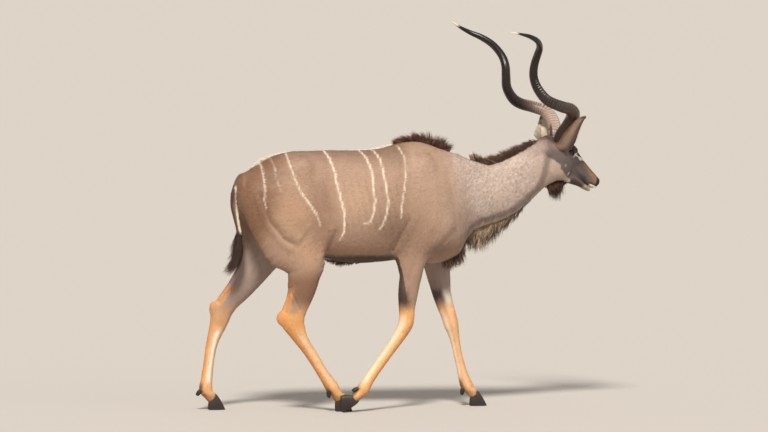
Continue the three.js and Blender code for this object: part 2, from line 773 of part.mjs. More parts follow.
function neckGeometry() {
  const rows = refine(NECK.slice(1, 8), 2).slice(1, -1);
  const start = { centre: vec(...NECK_CUT.point).addScaledVector(neckNormal, GAP / 2), normal: neckNormal };
  const finish = { centre: vec(...HEAD_CUT.point).addScaledVector(headNormal, -GAP / 2), normal: headNormal };
  const sections = rows.map((row, i) => {
    const before = rows[Math.max(i - 1, 0)];
    const after = rows[Math.min(i + 1, rows.length - 1)];
    const normal = vec(after[0] - before[0], after[2] - before[2], after[1] - before[1]).normalize();
    const t = (i + 1) / (rows.length + 1);
    normal.lerp(neckNormal, Math.max(0, 1 - t * 3)).lerp(headNormal, Math.max(0, (t - 0.55) / 0.45)).normalize();
    return { centre: vec(row[0], row[2], row[1]), normal, size: [row[4], row[3]] };
  });
  sections.unshift({ ...start, size: [108, 212] });
  sections.push({ ...finish, size: [62, 130] });
  for (const section of sections) {
    section.across = vec().crossVectors(Z, section.normal).normalize();
    section.upward = vec().crossVectors(section.normal, section.across);
  }
  return skinRings(fieldRings(sections, NECK_SIDES, bodyField));
}

// Head

function headSections() {
  const start = vec(...HEAD_CUT.point).addScaledVector(headNormal, GAP / 2).applyMatrix4(headFrameBack);
  const back = headTurn.clone().transpose();
  const startAcross = vec().crossVectors(Z, headNormal).applyMatrix4(back);
  const startUpward = Z.clone().applyMatrix4(back);
  const firstSquare = 165;
  const places = [];
  for (let t = 0; t < 1; t += 0.2) places.push([start.x + (firstSquare - start.x) * t, t]);
  for (let along = firstSquare; along < 380; along += 15) places.push([along, 1]);
  places.push([384, 1], [390, 1]);
  return places.map(([along, t]) => {
    const middle = (column(SKULL, 1, along) + column(JAW, 2, Math.min(along, 350))) / 2;
    const centre = vec(along, start.y * (1 - t), start.z + (middle + 6 - start.z) * t);
    const across = startAcross.clone().lerp(Y, t).normalize();
    const upward = startUpward.clone().lerp(Z, t).normalize();
    const turn = (v) => v.applyMatrix4(headTurn);
    return { centre: centre.applyMatrix4(headFrame), across: turn(across), upward: turn(upward), size: [62, 110] };
  });
}

function sphere(centre, radius, columns, rows) {
  const ball = new THREE.SphereGeometry(radius, columns, rows);
  return ball.rotateX(Math.PI / 2).translate(centre.x, centre.y, centre.z);
}

const eyeCentre = (side) => fromHead(EYE[0], side * EYE[1], EYE[2]);

// A closed tube of few sides through points, with its half thickness given point by point
function tube(points, radii, sides) {
  const rings = points.map((point, i) => {
    const before = points[Math.max(i - 1, 0)];
    const after = points[Math.min(i + 1, points.length - 1)];
    const line = after.clone().sub(before).normalize();
    const across = vec().crossVectors(Math.abs(line.z) > 0.9 ? Y : Z, line).normalize();
    const upward = vec().crossVectors(line, across);
    return Array.from({ length: sides }, (_, k) => {
      const angle = (k / sides) * 2 * Math.PI;
      return point.clone().addScaledVector(across, radii[i] * Math.cos(angle))
        .addScaledVector(upward, radii[i] * Math.sin(angle));
    });
  });
  return skinRings(rings);
}

// A point on the head's surface, straight out to one side from a place in the head's frame
function headSurface(along, side, up) {
  const middle = fromHead(along, 0, up);
  const direction = vec(0, Math.sign(side), 0).applyMatrix4(headTurn);
  return middle.addScaledVector(direction, castRay(middle, direction, bodyField, 120));
}

function eyelid(side) {
  const steps = 12;
  const centre = vec(EYE[0], side * EYE[1], EYE[2]);
  const rim = Array.from({ length: steps }, (_, k) => {
    const angle = (k / steps) * 2 * Math.PI;
    const height = LID.halfHeight * Math.sin(angle) + LID.tilt * Math.cos(angle);
    const direction = vec(LID.halfLength * Math.cos(angle), 0, height);
    direction.y = side * Math.sqrt(Math.max(EYE_RADIUS ** 2 - direction.x ** 2 - direction.z ** 2, 0));
    return direction;
  });
  const rings = rim.map((direction, k) => {
    const next = rim[(k + 1) % steps];
    const before = rim[(k + steps - 1) % steps];
    const out = direction.clone().normalize();
    const line = next.clone().sub(before).normalize();
    const across = vec().crossVectors(line, out);
    return Array.from({ length: 6 }, (_, j) => {
      const angle = (j / 6) * 2 * Math.PI;
      return centre.clone().add(direction).addScaledVector(out, LID.radius * Math.cos(angle))
        .addScaledVector(across, LID.radius * 1.3 * Math.sin(angle)).applyMatrix4(headFrame);
    });
  });
  const points = rings.flat();
  const triangles = [];
  for (let k = 0; k < steps; k++) {
    for (let j = 0; j < 6; j++) {
      const a = k * 6 + j;
      const b = k * 6 + ((j + 1) % 6);
      const c = ((k + 1) % steps) * 6 + j;
      const d = ((k + 1) % steps) * 6 + ((j + 1) % 6);
      triangles.push(a, b, d, a, d, c);
    }
  }
  if (signedVolume(points, triangles) < 0) triangles.reverse();
  return closedGeometry(points, triangles);
}

function mouthPath(offset) {
  const right = MOUTH.slice(1).map(([along, up]) => headSurface(along, -1, up + offset));
  const left = MOUTH.slice(1).map(([along, up]) => headSurface(along, 1, up + offset));
  return [...right.reverse(), fromHead(MOUTH[0][0], 0, MOUTH[0][1] + offset), ...left];
}

function headBase() {
  return skinRings(fieldRings(headSections(), HEAD_SIDES, bodyField));
}

function headSolid(base) {
  let solid = toSolid(base);
  for (const side of [-1, 1]) solid = solid.add(toSolid(eyelid(side)));
  for (const side of [-1, 1]) {
    solid = solid.subtract(toSolid(sphere(eyeCentre(side), EYE_RADIUS + GAP, EYE_SIDES, EYE_ROWS)));
  }
  for (const offset of [-LIP.apart, LIP.apart]) {
    const path = mouthPath(offset);
    solid = solid.add(toSolid(tube(path, path.map(() => LIP.radius), 4)));
  }
  const line = mouthPath(0);
  solid = solid.subtract(toSolid(tube(line, line.map(() => LIP.groove), 3)));
  for (const side of [-1, 1]) {
    const points = NOSTRIL.path.map(([along, out, up]) => fromHead(along, side * out, up));
    solid = solid.subtract(toSolid(tube(points, NOSTRIL.radii, 6)));
  }
  return solid;
}

// Ears: a cupped leaf of even thickness whose rims curl towards its opening
function earGeometry(side, { tip: [tipAlong, tipOut, tipUp], facing }) {
  const root = vec(EAR_ROOT[0], side * EAR_ROOT[1], EAR_ROOT[2]);
  const tip = vec(tipAlong, side * tipOut, tipUp);
  const axis = tip.clone().sub(root);
  const length = axis.length();
  axis.normalize();
  const opening = vec(facing[0], side * facing[1], facing[2]);
  opening.addScaledVector(axis, -opening.dot(axis)).normalize();
  const breadthAxis = vec().crossVectors(axis, opening);
  const layers = [[], []];
  for (const [s, breadth, curl] of EAR.sections) {
    for (let k = 0; k <= EAR.columns; k++) {
      const t = (k / EAR.columns) * 2 - 1;
      const angle = rad(curl) * t;
      const radius = (EAR.halfBreadth * breadth) / Math.sin(Math.min(rad(curl), Math.PI / 2));
      const bend = EAR.bend * Math.sin(Math.PI * s);
      const back = root.clone().addScaledVector(axis, length * s).addScaledVector(opening, -bend);
      const outward = breadthAxis.clone().multiplyScalar(Math.sin(angle)).addScaledVector(opening, -Math.cos(angle));
      const middle = back.addScaledVector(opening, radius * Math.min(1, 0.35 + 0.65 * breadth));
      const thickness = EAR.thickness * (1 - 0.6 * Math.abs(t)) * (1 - 0.5 * s);
      layers[0].push(middle.clone().addScaledVector(outward, radius));
      layers[1].push(middle.clone().addScaledVector(outward, radius - thickness));
    }
  }
  const width = EAR.columns + 1;
  const height = EAR.sections.length;
  const count = width * height;
  const points = layers.flat().map((p) => p.applyMatrix4(headFrame));
  const triangles = [];
  const quad = (a, b, c, d) => triangles.push(a, b, c, a, c, d);
  for (let i = 0; i < height - 1; i++) {
    for (let k = 0; k < width - 1; k++) {
      const a = i * width + k;
      quad(a, a + 1, a + width + 1, a + width);
      quad(count + a, count + a + width, count + a + width + 1, count + a + 1);
    }
    for (const [edge, flip] of [[i * width, false], [i * width + width - 1, true]]) {
      const corners = [edge, edge + width, count + edge + width, count + edge];
      if (flip) corners.reverse();
      quad(...corners);
    }
  }
  for (let k = 0; k < width - 1; k++) {
    quad(k + 1, k, count + k, count + k + 1);
    const a = (height - 1) * width + k;
    quad(a, a + 1, count + a + 1, count + a);
  }
  if (signedVolume(points, triangles) < 0) triangles.reverse();
  return closedGeometry(points, triangles);
}

// Horns: an open spiral with a keel that winds round it
function hornGeometry(stations, side) {
  const forward = vec(Math.cos(rad(HEAD_YAW)), Math.sin(rad(HEAD_YAW)), 0);
  const outward = vec(-Math.sin(rad(HEAD_YAW)), Math.cos(rad(HEAD_YAW)), 0).multiplyScalar(side);
  const rows = refine(stations, 2);
  const line = rows.map(([f, l, u]) => vec(...HORN_ORIGIN).addScaledVector(forward, f)
    .addScaledVector(outward, l).addScaledVector(Z, u));
  let across = forward.clone();
  const rings = line.map((point, i) => {
    const direction = line[Math.min(i + 1, line.length - 1)].clone().sub(line[Math.max(i - 1, 0)]).normalize();
    across = across.addScaledVector(direction, -across.dot(direction)).normalize();
    const other = vec().crossVectors(direction, across);
    const [a, b] = [across.clone(), other];
    return Array.from({ length: HORN.sides }, (_, k) => {
      const angle = (k / HORN.sides) * 2 * Math.PI;
      const keel = 1 + HORN.keel * Math.max(0, Math.cos(angle)) ** 4;
      return point.clone().addScaledVector(a, rows[i][3] * keel * Math.cos(angle))
        .addScaledVector(b, rows[i][3] * HORN.flatness * Math.sin(angle));
    });
  });
  return skinRings(rings);
}

// Tail

function tailGeometry() {
  const rows = refine(TAIL, 2);
  return skinRings(rows.map((row, i) => {
    const before = rows[Math.max(i - 1, 0)];
    const after = rows[Math.min(i + 1, rows.length - 1)];
    const ahead = vec(before[1] - after[1], 0, after[0] - before[0]).normalize();
    return Array.from({ length: 10 }, (_, k) => {
      const angle = (k / 10) * 2 * Math.PI;
      return vec(row[0], row[2], row[1]).addScaledVector(ahead, row[3] * Math.cos(angle))
        .addScaledVector(Y, row[4] * Math.sin(angle));
    });
  }));
}

// Long hair: flat, tapered locks that bend and overlap along its lie

function seededRandom(seed) {
  let state = seed;
  return () => {
    state = (state * 1664525 + 1013904223) % 4294967296;
    return state / 4294967296;
  };
}

// One lock from its root, leaving along one direction and bending into another, its flat side facing along face
function lockGeometry(root, leaving, ending, face, length, width) {
  return skinRings(LOCK.sections.map(([t, share]) => {
    const centre = root.clone().addScaledVector(leaving, length * (t - (t * t) / 2))
      .addScaledVector(ending, (length * t * t) / 2);
    const direction = leaving.clone().lerp(ending, t).normalize();
    const thin = face.clone().addScaledVector(direction, -face.dot(direction)).normalize();
    const broad = vec().crossVectors(direction, thin);
    const half = (width * share) / 2;
    return [[half, 0], [0, half * LOCK.thickness], [-half, 0], [0, -half * LOCK.thickness]]
      .map(([b, c]) => centre.clone().addScaledVector(broad, b).addScaledVector(thin, c));
  }));
}

// A direction in the animal's upright plane, turned forwards from up or down, then tipped to one side
function leanDirection(cast, lean, tip) {
  return vec(Math.sin(rad(lean)), Math.sin(rad(tip)), cast * Math.cos(rad(lean))).normalize();
}

// Locks cast from an inner line onto the body's surface above or below it
function locks(form) {
  const random = seededRandom(form.seed);
  const vary = (share) => 1 + share * (2 * random() - 1);
  return Array.from({ length: form.count }, (_, i) => {
    const at = Math.min(Math.max((i + 0.5 + 0.7 * (random() - 0.5)) / form.count, 0), 1);
    const [x, y, z, lean, length, width] = [1, 2, 3, 4, 5, 6].map((index) => column(form.rows, index, at));
    const row = ((i * 2) % 3) - 1;
    const side = row * form.spread * 0.5 * vary(0.3);
    const inner = vec(x, y + side, z);
    const down = vec(0, 0, form.cast);
    const root = inner.addScaledVector(down, castRay(inner, down, bodyField, 400) - LOCK.sunk);
    const turned = lean + 10 * (random() - 0.5);
    const tip = row * form.splay + 10 * (random() - 0.5);
    const face = vec(0.5 * (random() - 0.5), 1, 0.4 * (random() - 0.5)).normalize();
    return toSolid(lockGeometry(root, leanDirection(form.cast, turned, tip),
      leanDirection(form.cast, turned + form.bend * vary(0.5), tip * 0.4), face,
      length * vary(0.16) + LOCK.sunk, width * vary(0.15)));
  });
}

// Locks rooted round the end of the tail's core, down and back
function tuftLocks() {
  const random = seededRandom(TUFT.seed);
  const vary = (share) => 1 + share * (2 * random() - 1);
  return Array.from({ length: TUFT.count }, (_, i) => {
    const at = (i + 0.5) / TUFT.count;
    const [x, y, z, lean, length, width] = [1, 2, 3, 4, 5, 6].map((index) => column(TUFT.rows, index, at));
    const round = i * 2.4;
    const side = vec(Math.cos(round), Math.sin(round), 0);
    const root = vec(x, y, z).addScaledVector(side, 5);
    const leaving = leanDirection(-1, lean, 0).addScaledVector(side, Math.sin(rad(TUFT.splay)) * vary(0.4));
    const ending = leanDirection(-1, lean + TUFT.bend * vary(0.4), 0).addScaledVector(side, -0.06);
    return toSolid(lockGeometry(root, leaving.normalize(), ending.normalize(), side.clone().addScaledVector(Y, 0.3),
      length * vary(0.15), width * vary(0.15)));
  });
}

// Assembly

const COLOURS = {
  coat: [0x9a7c66, 0.9],
  horn: [0x2e2421, 0.5],
  hoof: [0x2a2523, 0.6],
  eye: [0x0d0908, 0.1],
};

const kudu = new THREE.Group();

function place(name, material, solid) {
  const [color, roughness] = COLOURS[material];
  const geometry = solid instanceof THREE.BufferGeometry ? solid : toGeometry(solid);
  const mesh = new THREE.Mesh(geometry, new THREE.MeshStandardMaterial({ color, roughness, flatShading: true }));
  mesh.name = name;
  kudu.add(mesh);
}

const joined = (base, pieces) => wasm.Manifold.union([base, ...pieces]);

const trunk = trunkSolid();
const trunkGeometry = toGeometry(trunk);
place('torso', 'coat', joined(trunk, [CREST, BRISKET, BELLY].flatMap(locks)));
place('neck', 'coat', joined(toSolid(neckGeometry()), [NAPE, THROAT].flatMap(locks)));
place('tail', 'coat', joined(toSolid(tailGeometry()), tuftLocks()).subtract(grown(trunkGeometry, GAP)));

const head = headBase();
place('head', 'coat', joined(headSolid(head), locks(BEARD)));
for (const [name, side, horn] of [['right', -1, HORN_RIGHT], ['left', 1, HORN_LEFT]]) {
  place(`horn_${name}`, 'horn', toSolid(hornGeometry(horn, side)).subtract(grown(head, GAP)));
  place(`ear_${name}`, 'coat', toSolid(earGeometry(side, EARS[name])).subtract(grown(head, GAP))
    .subtract(grown(hornGeometry(horn, side), GAP)));
  place(`eye_${name}`, 'eye', sphere(eyeCentre(side), EYE_RADIUS, EYE_SIDES, EYE_ROWS));
}

const LEGS = [
  ['hind_right', HIND_RIGHT, -1, hindCut],
  ['hind_left', HIND_LEFT, 1, hindCut],
  ['fore_right', FORE_RIGHT, -1, foreCut],
  ['fore_left', FORE_LEFT, 1, foreCut],
];
const underFloor = blockBeyond(vec(0, 0, 0), vec(0, 0, -1));
for (const [name, stations, side, cut] of LEGS) {
  const leg = legGeometry(stations, side, cut);
  place(`leg_${name}`, 'coat', leg);
  for (const [part, outward] of [['right', -1], ['left', 1]]) {
    place(`hoof_${name}_${part}`, 'hoof', toSolid(clawGeometry(stations, outward)).subtract(underFloor));
    place(`dewclaw_${name}_${part}`, 'hoof',
      toSolid(dewclawGeometry(stations, outward)).subtract(grown(leg, GAP)));
  }
}

kudu.position.set(BODY_SHIFT[0], BODY_SHIFT[1], 0);
export default kudu;
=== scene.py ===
"""Greater kudu bull, life size, walking. +X is the way it walks, +Y its left side, soles at z = 0.

Shapes are worked out in millimetres in the animal's own frame, whose middle plane is y = 0, and turned
into metres when they are made.
"""
import math

import bpy
import numpy as np
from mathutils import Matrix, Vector


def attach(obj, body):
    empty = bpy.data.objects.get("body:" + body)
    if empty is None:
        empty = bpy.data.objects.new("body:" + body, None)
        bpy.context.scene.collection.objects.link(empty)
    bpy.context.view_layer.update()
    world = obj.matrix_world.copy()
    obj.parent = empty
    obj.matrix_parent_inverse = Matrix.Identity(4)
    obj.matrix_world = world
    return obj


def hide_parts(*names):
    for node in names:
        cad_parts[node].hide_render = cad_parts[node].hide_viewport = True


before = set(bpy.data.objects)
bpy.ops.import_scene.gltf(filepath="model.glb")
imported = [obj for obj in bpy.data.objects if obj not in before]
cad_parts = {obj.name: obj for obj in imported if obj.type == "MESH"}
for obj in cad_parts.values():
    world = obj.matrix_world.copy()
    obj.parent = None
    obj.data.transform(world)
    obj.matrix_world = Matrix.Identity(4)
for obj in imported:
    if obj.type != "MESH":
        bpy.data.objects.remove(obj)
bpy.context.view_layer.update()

SHIFT = np.array([-12.0, 42.0, 0.0])
SEED = 20

# Trunk sections: x, top, bottom, half width, how much narrower the top is than the bottom
TRUNK = [
    [-850, 1282, 1045, 100, 0.05], [-800, 1312, 985, 132, 0.05], [-700, 1368, 930, 163, 0.08],
    [-600, 1394, 882, 178, 0.1], [-500, 1397, 838, 188, 0.1], [-391, 1399, 803, 197, 0.12],
    [-244, 1397, 784, 206, 0.14], [-109, 1405, 790, 205, 0.2], [0, 1435, 801, 194, 0.28],
    [109, 1437, 806, 176, 0.34], [217, 1392, 812, 154, 0.3], [300, 1345, 828, 128, 0.15],
]
TRUNK_CAPS = (55, 70)
TRUNK_SQUARENESS = 2.25

# Neck and limbs: x, z, y, half depth, half width, from the trunk outwards
NECK = [
    [215, 1125, 0, 235, 118], [331, 1141, 0, 212, 108], [399, 1143, 3, 190, 98],
    [480, 1146, 9, 166, 86], [548, 1167, 15, 156, 78], [645, 1224, 26, 136, 72],
    [725, 1278, 40, 124, 68], [785, 1312, 50, 124, 64], [830, 1322, 60, 112, 58],
]
TAIL = [
    [-862, 1222, 0, 30, 30], [-888, 1180, 0, 27, 26], [-897, 1106, 0, 25, 24], [-882, 1025, 0, 21, 21],
    [-868, 950, 0, 18, 18], [-860, 890, 0, 15, 15], [-864, 840, 0, 11, 11],
]
HIND_RIGHT = [
    [-655, 1180, -82, 165, 78], [-632, 1030, -104, 200, 82], [-598, 911, -116, 178, 76],
    [-562, 850, -122, 142, 70], [-538, 795, -126, 114, 61], [-543, 736, -129, 92, 52],
    [-552, 683, -131, 83, 46], [-567, 629, -132, 75, 40], [-586, 576, -133, 68, 35],
    [-602, 531, -134, 67, 34], [-606, 492, -134, 66, 35], [-586, 446, -131, 53, 32],
    [-558, 393, -126, 40, 27], [-521, 339, -119, 34, 24], [-480, 277, -111, 32, 23],
    [-438, 209, -101, 31, 23], [-408, 166, -95, 35, 27], [-386, 132, -90, 38, 30],
    [-362, 98, -85, 31, 27], [-341, 68, -80, 33, 30],
]
HIND_LEFT = [
    [-672, 1180, 82, 165, 78], [-682, 1010, 104, 178, 82], [-706, 885, 116, 142, 75],
    [-743, 807, 122, 108, 65], [-789, 730, 127, 87, 54], [-849, 648, 131, 71, 44],
    [-903, 587, 133, 61, 36], [-938, 537, 134, 58, 34], [-955, 490, 134, 54, 35],
    [-968, 446, 133, 46, 31], [-990, 384, 132, 36, 27], [-1006, 320, 131, 31, 24],
    [-1018, 240, 130, 30, 23], [-1028, 162, 129, 33, 26], [-1033, 112, 128, 38, 30],
    [-1016, 82, 127, 31, 27], [-996, 62, 126, 33, 30],
]
FORE_RIGHT = [
    [135, 1180, -84, 120, 60], [150, 1060, -104, 128, 64], [105, 950, -118, 122, 62],
    [60, 875, -123, 102, 57], [40, 812, -125, 87, 51], [37, 768, -125, 75, 46], [36, 728, -124, 65, 42],
    [29, 685, -123, 60, 38], [21, 621, -121, 55, 34], [16, 551, -119, 46, 31], [16, 505, -118, 43, 33],
    [8, 462, -117, 42, 34], [-18, 412, -118, 36, 29], [-74, 334, -124, 31, 23],
    [-127, 264, -130, 30, 22], [-178, 195, -136, 30, 23], [-206, 152, -140, 32, 27],
    [-226, 122, -143, 36, 30], [-252, 94, -145, 29, 26], [-276, 72, -148, 31, 29],
]
FORE_LEFT = [
    [175, 1180, 84, 120, 60], [205, 1050, 102, 122, 62], [214, 940, 116, 116, 60],
    [212, 870, 121, 100, 56], [215, 815, 124, 84, 50], [223, 760, 124, 75, 45], [231, 710, 123, 68, 41],
    [239, 663, 122, 61, 37], [248, 610, 121, 53, 34], [268, 540, 119, 47, 31], [285, 491, 118, 43, 33],
    [299, 440, 117, 41, 34], [311, 395, 116, 33, 29], [322, 346, 115, 27, 23], [334, 285, 115, 25, 22],
    [350, 218, 114, 26, 22], [367, 155, 113, 31, 26], [383, 112, 113, 36, 30], [404, 82, 113, 29, 26],
    [424, 60, 112, 31, 29],
]
LEGS = {"hind_right": HIND_RIGHT, "hind_left": HIND_LEFT, "fore_right": FORE_RIGHT, "fore_left": FORE_LEFT}

# Rounded masses of shoulders, hips, chest and hocks: centre x, y, z, half sizes x, y, z, pitch in degrees
MASSES = [
    [205, 0, 850, 120, 62, 72, 12], [90, -92, 1215, 92, 70, 165, -12],
    [110, 92, 1215, 92, 70, 165, -12], [-560, -96, 1290, 86, 56, 72, 0],
    [-560, 96, 1290, 86, 56, 72, 0], [-765, -92, 1090, 100, 74, 150, 14],
    [-775, 92, 1080, 95, 74, 150, 10],
]
HOCKS = [
    [-668, -134, 508, 26, 17, 34, 0], [-991, 134, 546, 22, 17, 34, 0],
]
# How softly parts run into each other
BLEND = {"neck": 90, "mass": 45, "legs": 18, "limb": 50, "hock": 24, "tail": 26, "head": 40, "jaw": 14,
         "face": 18}

# Head frame: the poll, how far it is turned and how far the face slopes down
POLL = np.array([813.0, 55.0, 1444.0])
HEAD_YAW = math.radians(15)
HEAD_PITCH = math.radians(37)

# Head sections along the face: distance from the poll, top, bottom, half width, taper
SKULL = [
    [15, 20, -100, 50, 0], [60, 43, -108, 61, 0.05], [100, 54, -112, 66, 0.1],
    [135, 55, -108, 66, 0.12], [170, 47, -100, 58, 0.1], [205, 37, -95, 48, 0.05],
    [240, 27, -90, 42, 0], [280, 18, -84, 38, 0], [320, 10, -76, 36, 0], [354, 4, -71, 35, 0],
    [375, -7, -64, 32, 0],
]
SKULL_CAPS = (40, 16)
SKULL_SQUARENESS = 2.3
JAW = [
    [115, -70, -166, 42, 0], [150, -70, -162, 43, 0], [190, -72, -149, 39, 0], [230, -72, -136, 34, 0],
    [270, -72, -121, 31, 0], [310, -72, -107, 29, 0], [344, -72, -102, 28, 0], [363, -74, -97, 25, 0],
]
JAW_CAPS = (35, 14)
JAW_SQUARENESS = 2.2
# Masses on the head, in its own frame: along, side, up, half sizes; those off the middle are on both sides
HEAD_MASSES = [
    [140, 38, -82, 66, 27, 64], [138, 54, 22, 36, 22, 24], [176, 48, -12, 40, 18, 20],
    [60, 45, 34, 42, 36, 26], [373, 0, -33, 24, 30, 30],
]
EYE = np.array([138.0, 53.0, 3.0])
EYE_RADIUS = 18.5

EAR_ROOT = [40, 58, 6]
EARS = {
    "right": {"side": -1, "tip": [32, 212, 175], "facing": [0.936, -0.235, 0.257]},
    "left": {"side": 1, "tip": [-8, 228, 118], "facing": [-0.85, -0.25, 0.1]},
}

# Horns: forward, outward, up from the middle of the forehead, and half thickness
HORN_ORIGIN = np.array([873.0, 70.0, 1458.0])
HORN_RIGHT = [
    [-8, 42, -40, 36], [0, 46, 0, 38], [24, 76, 53, 37], [28, 120, 107, 35], [-10, 168, 145, 34],
    [-62, 190, 160, 33], [-114, 198, 178, 31], [-159, 196, 200, 30], [-190, 182, 236, 28],
    [-209, 165, 276, 26], [-219, 155, 318, 24.5], [-222, 158, 360, 23.5], [-221, 174, 404, 22],
    [-223, 208, 446, 21], [-234, 258, 490, 19.5], [-274, 315, 526, 17.5], [-334, 356, 553, 14],
    [-394, 376, 569, 9], [-468, 390, 584, 3],
]
HORN_LEFT = [
    [-8, 42, -40, 36], [0, 46, 0, 38], [8, 76, 42, 37.5], [8, 112, 86, 36], [-10, 152, 117, 35],
    [-62, 188, 138, 34], [-120, 200, 154, 33], [-165, 196, 177, 32], [-202, 182, 215, 30],
    [-227, 166, 257, 28.5], [-234, 158, 308, 27], [-234, 164, 360, 25.5], [-236, 190, 404, 24],
    [-246, 232, 444, 22.5], [-265, 284, 481, 21], [-302, 332, 512, 18.5], [-348, 364, 535, 14.5],
    [-400, 382, 564, 9.5], [-448, 392, 596, 3],
]
HORN_KEEL = 0.16
HORN_FLATNESS = 0.9

# The mouth's line, along and up, and the nostril's: along, side, up, half breadth
MOUTH = np.array([[300, -68], [312, -73], [330, -73], [350, -71], [369, -66], [384, -61], [400, -58]])
NOSTRIL = [[397, 9, -23, 3], [385, 17, -19, 6.5], [373, 24, -15, 5], [361, 30, -11, 2]]

FOOT = {"slant": math.radians(37), "height": 69, "forward": 22, "top_half": 30, "sole_half": 46,
        "claw_top": 12.5, "claw_sole": 13.5, "cleft": 1.5, "toe_point": 0.45, "gap": 0.3}
DEWCLAW = {"back": 2, "down": 14, "side": 15, "length": 30, "root": 10}

# How far the skin lies under the tips of the coat
DEPTH = {"trunk": 5.5, "leg": 2.6, "head": 2.2, "tail": 3.5}


# Helpers

def column(table, index, at):
    """A value of a table's sections at places between them, on a smooth curve."""
    rows = np.asarray(table, float)
    xs, ys = rows[:, 0], rows[:, index]
    last = len(xs) - 1
    at = np.clip(at, xs[0], xs[last])
    i = np.clip(np.searchsorted(xs, at, side="left") - 1, 0, last - 1)

    def slope(low, high):
        return (ys[high] - ys[low]) / (xs[high] - xs[low])

    span = xs[i + 1] - xs[i]
    start = slope(np.maximum(i - 1, 0), i + 1)
    end = slope(i, np.minimum(i + 2, last))
    t = (at - xs[i]) / span
    t2, t3 = t * t, t * t * t
    return ((2 * t3 - 3 * t2 + 1) * ys[i] + (t3 - 2 * t2 + t) * span * start
            + (3 * t2 - 2 * t3) * ys[i + 1] + (t3 - t2) * span * end)


def refine(stations, pieces):
    """Rows of a table of stations with smooth ones put in between."""
    rows = np.asarray(stations, float)
    last = len(rows) - 1
    out = []
    for i in range(last):
        a, b = rows[i], rows[i + 1]
        m0 = (b - rows[max(i - 1, 0)]) / 2
        m1 = (rows[min(i + 2, last)] - a) / 2
        for k in range(pieces):
            t = k / pieces
            t2, t3 = t * t, t * t * t
            out.append((2 * t3 - 3 * t2 + 1) * a + (t3 - 2 * t2 + t) * m0
                       + (3 * t2 - 2 * t3) * b + (t3 - t2) * m1)
    out.append(rows[last])
    return np.array(out)


def smooth_min(a, b, reach):
    """The smaller of two distances, rounded where they are nearly equal."""
    h = np.maximum(reach - np.abs(a - b), 0) / reach
    return np.minimum(a, b) - h * h * reach / 4


def smooth_max(a, b, reach):
    return -smooth_min(-a, -b, reach)


def unit(v):
    return v / np.maximum(np.linalg.norm(v, axis=-1, keepdims=True), 1e-9)


def step(low, high, x):
    """0 below low, 1 above high, and smooth between them."""
    t = np.clip((x - low) / (high - low), 0, 1)
    return t * t * (3 - 2 * t)


def bump(x, width):
    """1 at 0, fading away on both sides."""
    return np.exp(-(x / width) ** 2)


def blot(x, y, middle_x, middle_y, half_x, half_y):
    """1 at a middle, fading away round it over an ellipse."""
    return bump(np.hypot((x - middle_x) / half_x, (y - middle_y) / half_y), 1)


def columns(*parts):
    """Points or rows of indices from their separate parts."""
    return np.stack(parts, axis=-1)


def off_normal(v, normal):
    """The part of a direction that lies along a surface, at length 1."""
    return unit(v - (v * normal).sum(axis=1, keepdims=True) * normal)


LATTICE_PRIMES = (374761393, 668265263, 2147483647)
MIXERS = (1274126177, 2246822519)
WORD = 0xFFFFFFFF


def lattice(ix, iy, iz, seed):
    """A repeatable random number from 0 to 1 for each lattice corner."""
    n = sum(i.astype(np.int64) * prime for i, prime in zip((ix, iy, iz), LATTICE_PRIMES))
    n = (n + seed * MIXERS[0]) & WORD
    n = ((n ^ (n >> 13)) * MIXERS[0]) & WORD
    n = ((n ^ (n >> 16)) * MIXERS[1]) & WORD
    return (n ^ (n >> 15)) / WORD


def noise(points, size, seed=0):
    """Smooth noise from -1 to 1 with lumps of about that size, one size or one for each axis."""
    p = points / np.asarray(size, float)
    base = np.floor(p)
    f = p - base
    f = f * f * (3 - 2 * f)
    base = base.astype(np.int64)
    value = np.zeros(len(p))
    for corner in np.ndindex(2, 2, 2):
        value += np.prod(np.where(corner, f, 1 - f), axis=1) * lattice(*(base + corner).T, seed)
    return value * 2 - 1


def srgb(red, green, blue):
    """Linear colour from screen values of 0 to 255."""
    c = np.array([red, green, blue], float) / 255
    return np.where(c <= 0.04045, c / 12.92, ((c + 0.055) / 1.055) ** 2.4)


# Distance fields, negative inside

def ellipsoid(q, radii):
    """Distance to ellipsoids in their own axes, with one set of half sizes or one for each point."""
    scaled = q / radii
    near = np.linalg.norm(scaled, axis=1)
    steep = np.linalg.norm(scaled / radii, axis=1)
    return np.where(steep < 1e-9, -np.min(radii, axis=-1), near * (near - 1) / np.maximum(steep, 1e-9))


def section_tube(table, caps, squareness, along, side, up):
    """Distance to a body of rounded sections with two rounded ends."""
    rows = np.asarray(table, float)
    at = np.clip(along, rows[0, 0], rows[-1, 0])
    top, bottom = column(table, 1, at), column(table, 2, at)
    height = (top - bottom) / 2
    v = (up - (top + bottom) / 2) / height
    breadth = column(table, 3, at) * (1 - column(table, 4, at) * np.clip(v, -1, 1))
    past = (along - at) / np.where(along < at, caps[0], caps[1])
    w = side / breadth
    rounded = (np.abs(w) ** squareness + np.abs(v) ** squareness) ** (1 / squareness)
    reach = np.hypot(rounded, past)
    plain = np.sqrt(w * w + v * v + past * past)
    size = np.sqrt(side ** 2 + (v * height) ** 2 + (along - at) ** 2) / np.maximum(plain, 1e-9)
    size = np.where(size > 0, size, np.minimum(height, breadth))
    return (reach - 1) * size


